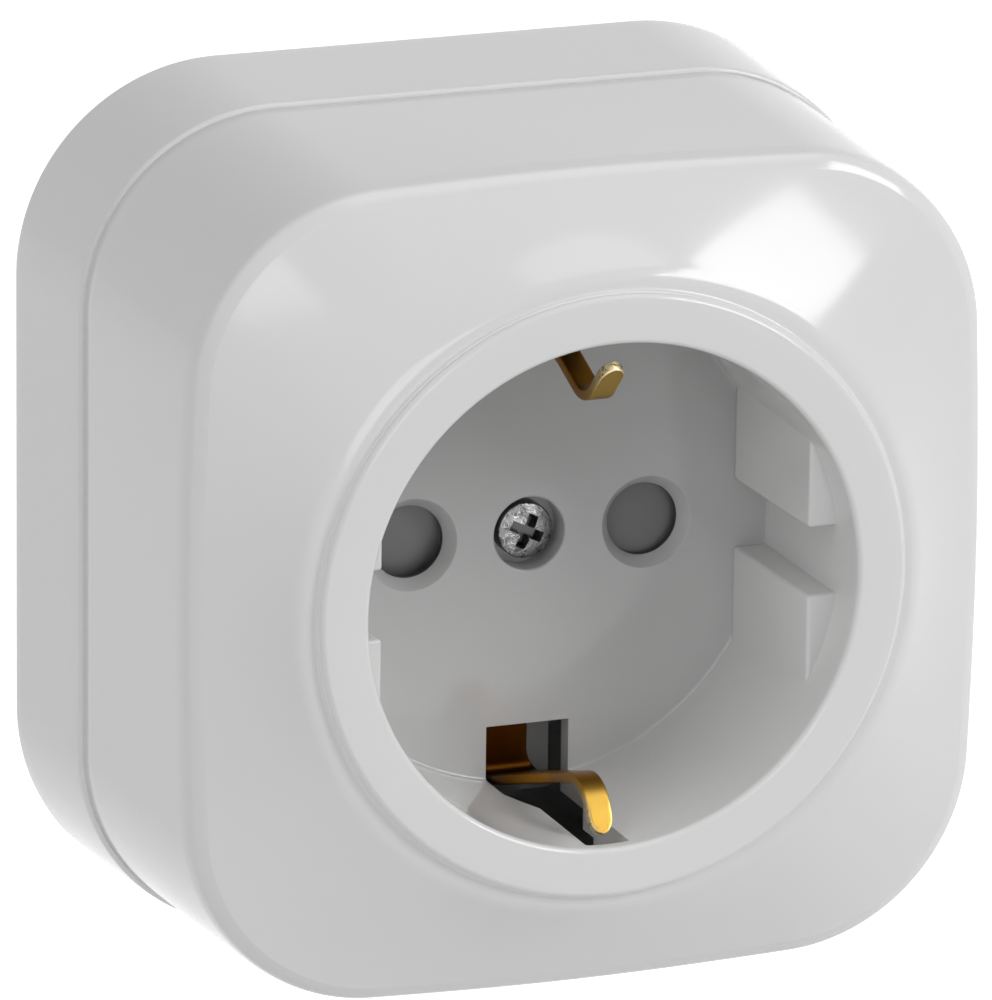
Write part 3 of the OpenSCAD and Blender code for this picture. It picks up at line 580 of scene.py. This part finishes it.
def earth_strip():
    """The folded strip from the upper finger's tip to the lower one's. The lower half is
    mirrored in height."""
    path, left, right, s = half_strip(UPPER_TIP, UPPER_CREST, UPPER_RISE)
    low_path, low_left, low_right, low_s = half_strip(LOWER_TIP, LOWER_CREST, LOWER_RISE)
    both = np.concatenate([path, low_path[-2::-1] * (1, -1)])
    return swept_sheet("earth_contact", both, np.concatenate([left, low_left[-2::-1]]),
                       np.concatenate([right, low_right[-2::-1]]),
                       np.concatenate([s, low_s[-2::-1]]))


def earth_contact():
    """The strip, with the side tab that carries the terminal screw joined on and both screw
    holes cut."""
    contact = earth_strip()
    tab_y = TAB_BACK_Y - EARTH_SHEET / 2
    tab_line = bent_line([(0, BAR_Y), (TAB_DROP_X, BAR_Y), (TAB_DROP_X, tab_y),
                          (EARTH_HIGH[0], tab_y)], [SHEET_BEND, SHEET_BEND], 12)
    step = np.gradient(tab_line, axis=0)
    step /= np.linalg.norm(step, axis=1)[:, None]
    side = np.stack([-step[:, 1], step[:, 0]], 1) * EARTH_SHEET / 2
    tab = prism("tab", np.concatenate([tab_line + side, (tab_line - side)[::-1]]),
                TAB_Z - TAB_HALF, TAB_Z + TAB_HALF, 2)
    carve(contact, tab, "UNION")
    holes = [round_bar("hole", SHANK_HOLE, BAR_Y - 1, BAR_Y + 1, (0, 0)),
             round_bar("hole", TAB_HOLE, tab_y - 1, tab_y + 1, (TAB_X, TAB_Z))]
    carve(contact, merged("holes", holes))
    smooth(contact, 50)
    return contact


def cross_cutter():
    """Two crossing arms that narrow towards the bottom of the recess, and four thin ticks
    between them."""
    head_y = SCREW_LOW[1]
    arms = []
    for turn, reach, width, depth in [
            (0, CROSS_REACH, CROSS_WIDTH, CROSS_DEPTH), (90, CROSS_REACH, CROSS_WIDTH, CROSS_DEPTH),
            (45, HEAD_RADIUS - 0.25, TICK_WIDTH, TICK_DEPTH),
            (135, HEAD_RADIUS - 0.25, TICK_WIDTH, TICK_DEPTH)]:
        a = math.radians(turn - CROSS_TURN)
        plan = np.array([(-1, -1), (1, -1), (1, 1), (-1, 1)]) * (reach, width / 2)
        plan = plan @ np.array([(math.cos(a), math.sin(a)), (-math.sin(a), math.cos(a))])
        front, back = head_y - 0.5, head_y + depth
        points = np.concatenate([np.insert(plan * size, 1, y, 1)
                                 for size, y in ((1.12, front), (0.72, back))])
        i = np.arange(4)
        k = (i + 1) % 4
        sides = np.stack([i, k, k + 4, i + 4], 1).tolist()
        arm = put_mesh("arm", points, sides + [[3, 2, 1, 0], [4, 5, 6, 7]])
        tidy(arm)
        arms.append(arm)
    return arms


def cover_screw():
    """Domed head with a rounded rim, on a shank. The dome's height falls off as the square of
    the radius."""
    head_y, tip_y = SCREW_LOW[1], SCREW_HIGH[1]
    r = np.linspace(0, HEAD_RADIUS - 0.12, 12)
    dome = np.stack([r, head_y + HEAD_DOME * (r / HEAD_RADIUS) ** 2], 1)
    rim = arc((HEAD_RADIUS - 0.15, dome[-1, 1] + 0.15), 0.15, -60, 0, 5)
    rest = np.array([(HEAD_RADIUS, HEAD_SEAT_Y), (SHANK_RADIUS, HEAD_SEAT_Y),
                     (SHANK_RADIUS, tip_y - 0.6), (SHANK_RADIUS - 0.5, tip_y), (0, tip_y)])
    profile = np.concatenate([dome, rim, rest])
    screw = closed_turning("cover_screw", profile[:, 0], profile[:, 1], 96)
    for arm in cross_cutter():
        carve(screw, arm)
    smooth(screw, 30)
    return screw


# Materials

def node(tree, kind, **values):
    """A shader node with its properties and, by name with underscores, its input values."""
    new = tree.nodes.new(kind)
    for key, value in values.items():
        if hasattr(new, key):
            setattr(new, key, value)
        else:
            new.inputs[key.replace("_", " ")].default_value = value
    return new


def new_group(name, inputs, outputs):
    """An empty node group with number sockets of the given names."""
    tree = bpy.data.node_groups.new(name, "ShaderNodeTree")
    for label in inputs:
        tree.interface.new_socket(label, in_out="INPUT", socket_type="NodeSocketFloat")
    for label in outputs:
        tree.interface.new_socket(label, in_out="OUTPUT", socket_type="NodeSocketFloat")
    return tree, tree.nodes.new("NodeGroupInput"), tree.nodes.new("NodeGroupOutput")


def mould_group():
    """Fine unevenness of a moulded surface: a slow swell that moves the roughness, and a height
    of very fine grain."""
    tree, start, end = new_group("mould_surface", ["Roughness", "Spread", "Grain"],
                                 ["Roughness", "Shade", "Height"])
    place = node(tree, "ShaderNodeTexCoord")
    swell = node(tree, "ShaderNodeTexNoise", Scale=55.0, Detail=3.0, Roughness=0.5)
    grain = node(tree, "ShaderNodeTexNoise", Scale=1500.0, Detail=2.0, Roughness=0.5)
    centred = node(tree, "ShaderNodeMath", operation="SUBTRACT")
    centred.inputs[1].default_value = 0.5
    scaled = node(tree, "ShaderNodeMath", operation="MULTIPLY_ADD")
    height = node(tree, "ShaderNodeMath", operation="MULTIPLY")
    link = tree.links.new
    for texture in (swell, grain):
        link(place.outputs["Object"], texture.inputs["Vector"])
    link(swell.outputs["Fac"], centred.inputs[0])
    link(centred.outputs[0], scaled.inputs[0])
    link(start.outputs["Spread"], scaled.inputs[1])
    link(start.outputs["Roughness"], scaled.inputs[2])
    link(grain.outputs["Fac"], height.inputs[0])
    link(start.outputs["Grain"], height.inputs[1])
    link(scaled.outputs[0], end.inputs["Roughness"])
    link(swell.outputs["Fac"], end.inputs["Shade"])
    link(height.outputs[0], end.inputs["Height"])
    return tree


def wear_group():
    """Speckled discolouring of bare metal: two sizes of noise give a mask of worn spots, and fine
    lines along one direction give a drawn finish."""
    tree, start, end = new_group("metal_wear", ["Spots", "Amount"], ["Mask", "Cloud", "Height"])
    place = node(tree, "ShaderNodeTexCoord")
    spots = node(tree, "ShaderNodeTexNoise", Detail=4.0, Roughness=0.65)
    cloud = node(tree, "ShaderNodeTexNoise", Scale=260.0, Detail=3.0, Roughness=0.55)
    level = node(tree, "ShaderNodeMath", operation="SUBTRACT")
    level.inputs[0].default_value = 1.0
    mask = node(tree, "ShaderNodeMapRange", interpolation_type="SMOOTHSTEP")
    upper = node(tree, "ShaderNodeMath", operation="ADD")
    upper.inputs[1].default_value = 0.12
    stretch = node(tree, "ShaderNodeMapping")
    stretch.inputs["Scale"].default_value = (9000.0, 700.0, 700.0)
    lines = node(tree, "ShaderNodeTexNoise", Scale=1.0, Detail=2.0)
    link = tree.links.new
    link(place.outputs["Object"], spots.inputs["Vector"])
    link(place.outputs["Object"], cloud.inputs["Vector"])
    link(place.outputs["Object"], stretch.inputs["Vector"])
    link(stretch.outputs["Vector"], lines.inputs["Vector"])
    link(start.outputs["Spots"], spots.inputs["Scale"])
    link(start.outputs["Amount"], level.inputs[1])
    link(level.outputs[0], mask.inputs["From Min"])
    link(level.outputs[0], upper.inputs[0])
    link(upper.outputs[0], mask.inputs["From Max"])
    link(spots.outputs["Fac"], mask.inputs["Value"])
    link(mask.outputs["Result"], end.inputs["Mask"])
    link(cloud.outputs["Fac"], end.inputs["Cloud"])
    link(lines.outputs["Fac"], end.inputs["Height"])
    return tree


MOULD = mould_group()
WEAR = wear_group()


def blank_material(name):
    material = bpy.data.materials.new(name)
    material.use_nodes = True
    tree = material.node_tree
    return material, tree, tree.nodes["Principled BSDF"]


def mixed(tree, factor, first, second):
    """A colour mix; each colour is a socket or three numbers."""
    mix = node(tree, "ShaderNodeMix", data_type="RGBA")
    tree.links.new(factor, mix.inputs["Factor"])
    for socket, colour in (("A", first), ("B", second)):
        if isinstance(colour, tuple):
            mix.inputs[socket].default_value = (*colour, 1)
        else:
            tree.links.new(colour, mix.inputs[socket])
    return mix.outputs["Result"]


def along(tree, place, axis, start, end):
    """A mask that goes smoothly from 0 at one place along an axis to 1 at another."""
    parts = node(tree, "ShaderNodeSeparateXYZ")
    mask = node(tree, "ShaderNodeMapRange", interpolation_type="SMOOTHSTEP")
    mask.inputs["From Min"].default_value = start * MM
    mask.inputs["From Max"].default_value = end * MM
    tree.links.new(place.outputs["Object"], parts.inputs[0])
    tree.links.new(parts.outputs[axis], mask.inputs["Value"])
    return mask.outputs["Result"]


def plastic(name, light, dark, roughness, spread, grain, floor_painted_shade=None):
    """Moulded plastic: its colour drifts between two near shades, and its gloss is uneven. With two
    floor shade colours, painted shade darkens the well's floor from the first at its foot to the
    second at its top."""
    material, tree, shader = blank_material(name)
    mould = node(tree, "ShaderNodeGroup", node_tree=MOULD)
    mould.inputs["Roughness"].default_value = roughness
    mould.inputs["Spread"].default_value = spread
    mould.inputs["Grain"].default_value = grain
    bump = node(tree, "ShaderNodeBump", Strength=0.15, Distance=0.00002)
    link = tree.links.new
    colour = mixed(tree, mould.outputs["Shade"], dark, light)
    # Painted shade: the well's floor is greyed, darker towards its top, for the shade that falls
    # deep in the well.
    if floor_painted_shade:
        place = node(tree, "ShaderNodeTexCoord")
        painted_shade_ramp = mixed(tree, along(tree, place, "Z", -WELL_RADIUS, WELL_RADIUS), *floor_painted_shade)
        floor_with_painted_shade = mixed(tree, along(tree, place, "Y", FLOOR_Y - 0.35, FLOOR_Y), colour, painted_shade_ramp)
        flat = node(tree, "ShaderNodeVectorMath", operation="MULTIPLY")
        flat.inputs[1].default_value = (1, 0, 1)
        reach = node(tree, "ShaderNodeVectorMath", operation="LENGTH")
        outside = node(tree, "ShaderNodeMath", operation="GREATER_THAN")
        outside.inputs[1].default_value = (WELL_RADIUS + 0.5) * MM
        tree.links.new(place.outputs["Object"], flat.inputs[0])
        tree.links.new(flat.outputs["Vector"], reach.inputs[0])
        tree.links.new(reach.outputs["Value"], outside.inputs[0])
        colour = mixed(tree, outside.outputs[0], floor_with_painted_shade, colour)
    link(colour, shader.inputs["Base Color"])
    link(mould.outputs["Roughness"], shader.inputs["Roughness"])
    link(mould.outputs["Height"], bump.inputs["Height"])
    link(bump.outputs["Normal"], shader.inputs["Normal"])
    return material


def metal(name, bright, worn, roughness, spots, amount, drawn):
    """Bare or plated metal with a cloudy gloss, worn spots and fine drawn lines. Also gives its
    tree, its colour's socket, its wear node and its shader, for a finish that adds to it."""
    material, tree, shader = blank_material(name)
    wear = node(tree, "ShaderNodeGroup", node_tree=WEAR)
    wear.inputs["Spots"].default_value = spots
    wear.inputs["Amount"].default_value = amount
    gloss = node(tree, "ShaderNodeMapRange")
    gloss.inputs["To Min"].default_value = roughness * 0.6
    gloss.inputs["To Max"].default_value = roughness * 1.5
    bump = node(tree, "ShaderNodeBump", Strength=drawn, Distance=0.00003)
    colour = mixed(tree, wear.outputs["Mask"], bright, worn)
    link = tree.links.new
    link(wear.outputs["Cloud"], gloss.inputs["Value"])
    link(colour, shader.inputs["Base Color"])
    link(gloss.outputs["Result"], shader.inputs["Roughness"])
    link(wear.outputs["Height"], bump.inputs["Height"])
    link(bump.outputs["Normal"], shader.inputs["Normal"])
    shader.inputs["Metallic"].default_value = 1.0
    return material, tree, colour, wear, shader


def stamped_brass():
    """Brass that is gold on the tongues, clouded with brown. Painted shade turns it brown along the
    fingers and nearly black brown deep in the cut-outs. Its rims are polished near the tips, with
    dark specks beside them."""
    gold, brown, deep_painted_shade = (0.52, 0.34, 0.07), (0.34, 0.15, 0.008), (0.06, 0.02, 0.0015)
    polished, speck = (0.95, 0.82, 0.50), (0.12, 0.075, 0.02)
    material, tree, shader = blank_material("stamped_brass")
    wear = node(tree, "ShaderNodeGroup", node_tree=WEAR)
    wear.inputs["Spots"].default_value = 2600.0
    wear.inputs["Amount"].default_value = 0.5
    place = node(tree, "ShaderNodeTexCoord")
    edge = node(tree, "ShaderNodeAttribute", attribute_name="edge")
    tip = node(tree, "ShaderNodeAttribute", attribute_name="tip")
    rim = node(tree, "ShaderNodeMapRange", interpolation_type="SMOOTHSTEP")
    rim.inputs["From Min"].default_value, rim.inputs["From Max"].default_value = 0.55, 0.95
    shown = node(tree, "ShaderNodeMath", operation="MULTIPLY")
    near_tip = node(tree, "ShaderNodeMath", operation="MULTIPLY")
    specks = node(tree, "ShaderNodeMath", operation="MULTIPLY")
    cloudy = node(tree, "ShaderNodeMapRange")
    cloudy.inputs["To Min"].default_value, cloudy.inputs["To Max"].default_value = 0.0, 0.55
    gloss = node(tree, "ShaderNodeMapRange")
    gloss.inputs["To Min"].default_value, gloss.inputs["To Max"].default_value = 0.22, 0.45
    bump = node(tree, "ShaderNodeBump", Strength=0.2, Distance=0.00003)
    link = tree.links.new
    link(wear.outputs["Cloud"], cloudy.inputs["Value"])
    clouded = mixed(tree, cloudy.outputs["Result"], gold, brown)
    # Painted shade: the brass goes brown from the crest back and nearly black brown towards the
    # floor, where shade falls in the cut-outs.
    finger = mixed(tree, along(tree, place, "Y", FACE_Y + 3.2, FACE_Y + 5.2), clouded, brown)
    body = mixed(tree, along(tree, place, "Y", LEG_Y - 9, LEG_Y - 2), finger, deep_painted_shade)
    link(edge.outputs["Fac"], rim.inputs["Value"])
    link(rim.outputs["Result"], shown.inputs[0])
    link(tip.outputs["Fac"], shown.inputs[1])
    worn = mixed(tree, shown.outputs[0], body, polished)
    link(edge.outputs["Fac"], near_tip.inputs[0])
    link(tip.outputs["Fac"], near_tip.inputs[1])
    link(near_tip.outputs[0], specks.inputs[0])
    link(wear.outputs["Mask"], specks.inputs[1])
    link(mixed(tree, specks.outputs[0], worn, speck), shader.inputs["Base Color"])
    link(wear.outputs["Cloud"], gloss.inputs["Value"])
    link(gloss.outputs["Result"], shader.inputs["Roughness"])
    link(wear.outputs["Height"], bump.inputs["Height"])
    link(bump.outputs["Normal"], shader.inputs["Normal"])
    shader.inputs["Metallic"].default_value = 1.0
    return material


def scratched_steel():
    """Grey steel of the cover screw: thin bright scratches, which wander where a noise crosses
    its middle value, and small dents. From 0.4 to 0.8 mm behind the head's front it fades to near
    black as painted shade, over the cross recess and the head's outer edge."""
    material, tree, colour, wear, shader = metal(
        "scratched_steel", (0.26, 0.26, 0.265), (0.11, 0.11, 0.11), 0.3, 2300.0, 0.5, 0.4)
    place = node(tree, "ShaderNodeTexCoord")
    waves = node(tree, "ShaderNodeTexNoise", Scale=900.0, Detail=2.0, Distortion=1.5)
    middle = node(tree, "ShaderNodeMath", operation="SUBTRACT")
    middle.inputs[1].default_value = 0.5
    away = node(tree, "ShaderNodeMath", operation="ABSOLUTE")
    thin = node(tree, "ShaderNodeMapRange", interpolation_type="SMOOTHSTEP")
    thin.inputs["From Max"].default_value = 0.022
    thin.inputs["To Min"].default_value, thin.inputs["To Max"].default_value = 0.65, 0.0
    recess = along(tree, place, "Y", SCREW_LOW[1] + 0.4, SCREW_LOW[1] + 0.8)
    dents = node(tree, "ShaderNodeBump", Strength=0.5, Distance=0.00008)
    lumps = node(tree, "ShaderNodeTexNoise", Scale=1100.0, Detail=3.0)
    link = tree.links.new
    link(place.outputs["Object"], waves.inputs["Vector"])
    link(waves.outputs["Fac"], middle.inputs[0])
    link(middle.outputs[0], away.inputs[0])
    link(place.outputs["Object"], lumps.inputs["Vector"])
    link(away.outputs[0], thin.inputs["Value"])
    link(lumps.outputs["Fac"], dents.inputs["Height"])
    marked = mixed(tree, thin.outputs["Result"], colour, (0.85, 0.85, 0.85))
    # Painted shade: the cross recess and the head's outer edge are painted near black.
    link(mixed(tree, recess, marked, (0.10, 0.10, 0.10)), shader.inputs["Base Color"])
    link(dents.outputs["Normal"], shader.inputs["Normal"])
    return material


def dress(piece, material):
    """Gives every face of a piece the one material."""
    piece.data.materials.clear()
    piece.data.materials.append(material)


white = plastic("gloss_white_moulding", (0.70, 0.70, 0.695), (0.675, 0.675, 0.672),
                0.11, 0.04, 1.0)
# The front cover's material, with painted shade on the well's floor: 0.60 grey at its foot and 0.40
# at its top.
white_with_painted_well_shade = plastic("white_moulding_with_painted_floor_shade", (0.70, 0.70, 0.695),
                     (0.675, 0.675, 0.672), 0.11, 0.04, 1.0,
                     ((0.60, 0.60, 0.60), (0.40, 0.40, 0.40)))
carrier_grey = plastic("dark_grey_moulding", (0.26, 0.26, 0.262), (0.235, 0.235, 0.237),
                       0.42, 0.15, 2.0)
shutter_grey = plastic("grey_shutter_moulding", (0.175, 0.175, 0.177), (0.15, 0.15, 0.152),
                       0.38, 0.12, 1.5)
# Painted shade: the pin sleeves are near black, darker than the shutter, to stand for the shade on
# the pin holes' walls.
sleeve_painted_shade = plastic("near_black_painted_hole_shade", (0.055, 0.055, 0.056), (0.045, 0.045, 0.046),
                      0.4, 0.12, 1.5)
brass = stamped_brass()
screw_steel = scratched_steel()
zinc = metal("zinc_plated_steel", (0.78, 0.79, 0.80), (0.45, 0.45, 0.46), 0.28, 1800.0, 0.42,
             0.15)[0]
spring_steel = metal("drawn_spring_steel", (0.60, 0.60, 0.62), (0.35, 0.34, 0.34), 0.3, 2200.0,
                     0.4, 0.2)[0]

SLOT_MATERIALS = {"housing": white, "dark_moulding": carrier_grey, "shutter_plastic": shutter_grey,
                  "contact_brass": brass, "zinc_steel": zinc, "spring_steel": spring_steel}
for part in frame["record"]["subparts"]:
    dress(frame["nodes"][part["node"]], SLOT_MATERIALS[part["material_slot"]])


# Pieces

def place_piece(piece, material, slot, *stands_for):
    dress(piece, material)
    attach(piece, "socket")
    if stands_for:
        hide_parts(*stands_for)


place_piece(front_cover(), white_with_painted_well_shade, "housing", "front_cover", "well_floor")
place_piece(base_box(), white, "housing", "base")
place_piece(pin_sleeves(), sleeve_painted_shade, "dark_moulding")
place_piece(earth_contact(), brass, "contact_brass", "earth_contact")
place_piece(cover_screw(), screw_steel, "zinc_steel", "cover_screw")


# Stage, light and camera

CAMERA_PLACE = np.array([-291.247, -765.197, 237.475]) * MM
CAMERA_YAW, CAMERA_PITCH, CAMERA_ROLL = 21.251, 16.421, 0.656
FOCAL_PIXELS, PHOTO_HEIGHT, SENSOR = 11003.5, 1000, 36.0
LAMP_DISTANCE = 1.2


def camera():
    """A camera that looks along (sin yaw cos pitch, cos yaw cos pitch, -sin pitch), rolled
    about that line. Its focal length comes from pixels and the photograph's height."""
    yaw, pitch, roll = np.radians([CAMERA_YAW, CAMERA_PITCH, CAMERA_ROLL])
    forward = np.array([math.sin(yaw) * math.cos(pitch), math.cos(yaw) * math.cos(pitch),
                        -math.sin(pitch)])
    level = np.array([math.cos(yaw), -math.sin(yaw), 0])
    upright = np.cross(level, forward)
    right = math.cos(roll) * level + math.sin(roll) * upright
    up = -math.sin(roll) * level + math.cos(roll) * upright
    data = bpy.data.cameras.new("photo_camera")
    data.sensor_width = SENSOR
    data.lens = FOCAL_PIXELS / PHOTO_HEIGHT * SENSOR
    data.clip_start, data.clip_end = 0.01, 50
    eye = bpy.data.objects.new("photo_camera", data)
    bpy.context.scene.collection.objects.link(eye)
    eye.matrix_world = Matrix(
        [[right[i], up[i], -forward[i], CAMERA_PLACE[i]] for i in range(3)] + [[0, 0, 0, 1]])
    bpy.context.scene.camera = eye


def softbox(name, azimuth, elevation, width, height, strength, spin=0.0):
    """A rectangular lamp that faces the socket's face. Azimuth is measured from straight ahead
    to the right and elevation upwards, in degrees. strength is its brightness as seen in a
    mirror, where 1 is white."""
    a, e = math.radians(azimuth), math.radians(elevation)
    direction = Vector((math.sin(a) * math.cos(e), -math.cos(a) * math.cos(e), math.sin(e)))
    data = bpy.data.lights.new(name, "AREA")
    data.shape, data.size, data.size_y = "RECTANGLE", width, height
    data.energy = strength * math.pi * width * height
    lamp = bpy.data.objects.new(name, data)
    bpy.context.scene.collection.objects.link(lamp)
    lamp.location = Vector((0, FACE_Y * MM, 0)) + direction * LAMP_DISTANCE
    lamp.rotation_euler = direction.to_track_quat("Z", "Y").to_euler()
    lamp.rotation_euler.rotate_axis("Z", math.radians(spin))


def seen_directly(tree):
    """1 for rays that reach the camera straight, by a mirror or through glass, else 0."""
    path = node(tree, "ShaderNodeLightPath")
    total = path.outputs["Is Camera Ray"]
    for kind in ("Is Glossy Ray", "Is Transmission Ray"):
        either = node(tree, "ShaderNodeMath", operation="MAXIMUM")
        tree.links.new(total, either.inputs[0])
        tree.links.new(path.outputs[kind], either.inputs[1])
        total = either.outputs[0]
    return total


def lobe(tree, place, azimuth, elevation, strength):
    """Soft light from one side: strength times the sixth power of the cosine from a direction."""
    a, e = math.radians(azimuth), math.radians(elevation)
    towards = node(tree, "ShaderNodeVectorMath", operation="DOT_PRODUCT")
    towards.inputs[1].default_value = (math.sin(a) * math.cos(e), -math.cos(a) * math.cos(e),
                                       math.sin(e))
    front = node(tree, "ShaderNodeMath", operation="MAXIMUM")
    front.inputs[1].default_value = 0
    sharp = node(tree, "ShaderNodeMath", operation="POWER")
    sharp.inputs[1].default_value = 6
    scaled = node(tree, "ShaderNodeMath", operation="MULTIPLY")
    scaled.inputs[1].default_value = strength
    link = tree.links.new
    link(place.outputs["Generated"], towards.inputs[0])
    link(towards.outputs["Value"], front.inputs[0])
    link(front.outputs[0], sharp.inputs[0])
    link(sharp.outputs[0], scaled.inputs[0])
    return scaled.outputs[0]


def world():
    """White where it is seen. The light that it sheds comes softly from a few sides, as in a
    room of pale panels."""
    sky = bpy.data.worlds.new("studio")
    bpy.context.scene.world = sky
    sky.use_nodes = True
    tree = sky.node_tree
    link = tree.links.new
    light = tree.nodes["Background"]
    light.inputs["Color"].default_value = (0.99, 0.995, 1.0, 1)
    place = node(tree, "ShaderNodeTexCoord")
    total = None
    for azimuth, elevation, strength in WORLD_PANELS:
        part = lobe(tree, place, azimuth, elevation, strength)
        if total:
            both = node(tree, "ShaderNodeMath", operation="ADD")
            link(total, both.inputs[0])
            link(part, both.inputs[1])
            part = both.outputs[0]
        total = part
    link(total, light.inputs["Strength"])
    plain = node(tree, "ShaderNodeBackground", Strength=1.0)
    plain.inputs["Color"].default_value = (1, 1, 1, 1)
    mix = node(tree, "ShaderNodeMixShader")
    link(seen_directly(tree), mix.inputs["Fac"])
    link(light.outputs[0], mix.inputs[1])
    link(plain.outputs[0], mix.inputs[2])
    link(mix.outputs[0], tree.nodes["World Output"].inputs["Surface"])


def floor():
    """A wide pale floor below the socket, which hangs on a wall. It glows a little where it is
    seen, so that it is white away from the shadow."""
    side, drop = 6.0, 0.45
    ground = put_mesh("floor", np.array([(-side, -side, -drop), (side, -side, -drop),
                                         (side, side, -drop), (-side, side, -drop)]) / MM,
                      [[0, 1, 2, 3]])
    material, tree, shader = blank_material("pale_floor")
    shader.inputs["Base Color"].default_value = (0.86, 0.86, 0.86, 1)
    shader.inputs["Roughness"].default_value = 0.9
    shader.inputs["Emission Color"].default_value = (1, 1, 1, 1)
    glow = node(tree, "ShaderNodeMath", operation="MULTIPLY")
    glow.inputs[1].default_value = FLOOR_GLOW
    tree.links.new(seen_directly(tree), glow.inputs[0])
    tree.links.new(glow.outputs[0], shader.inputs["Emission Strength"])
    dress(ground, material)


# Azimuth, elevation and strength of each side from which the world sheds light
WORLD_PANELS = [(-60, 0, 1.5), (-60, 45, 1.2), (100, 0, 2.2), (60, -45, 3.0),
                (180, 10, 0.4)]
FLOOR_GLOW = 0.75

camera()
world()
floor()
softbox("right_box", 49.0, 27.7, 0.531, 0.571, 7.0, -49.5)
softbox("top_box", 40, 65, 0.8, 0.6, 1.4)
softbox("left_box", 1.8, 1.2, 0.28, 0.5, 2.4, 59.6)
bpy.context.scene.view_settings.view_transform = "Standard"
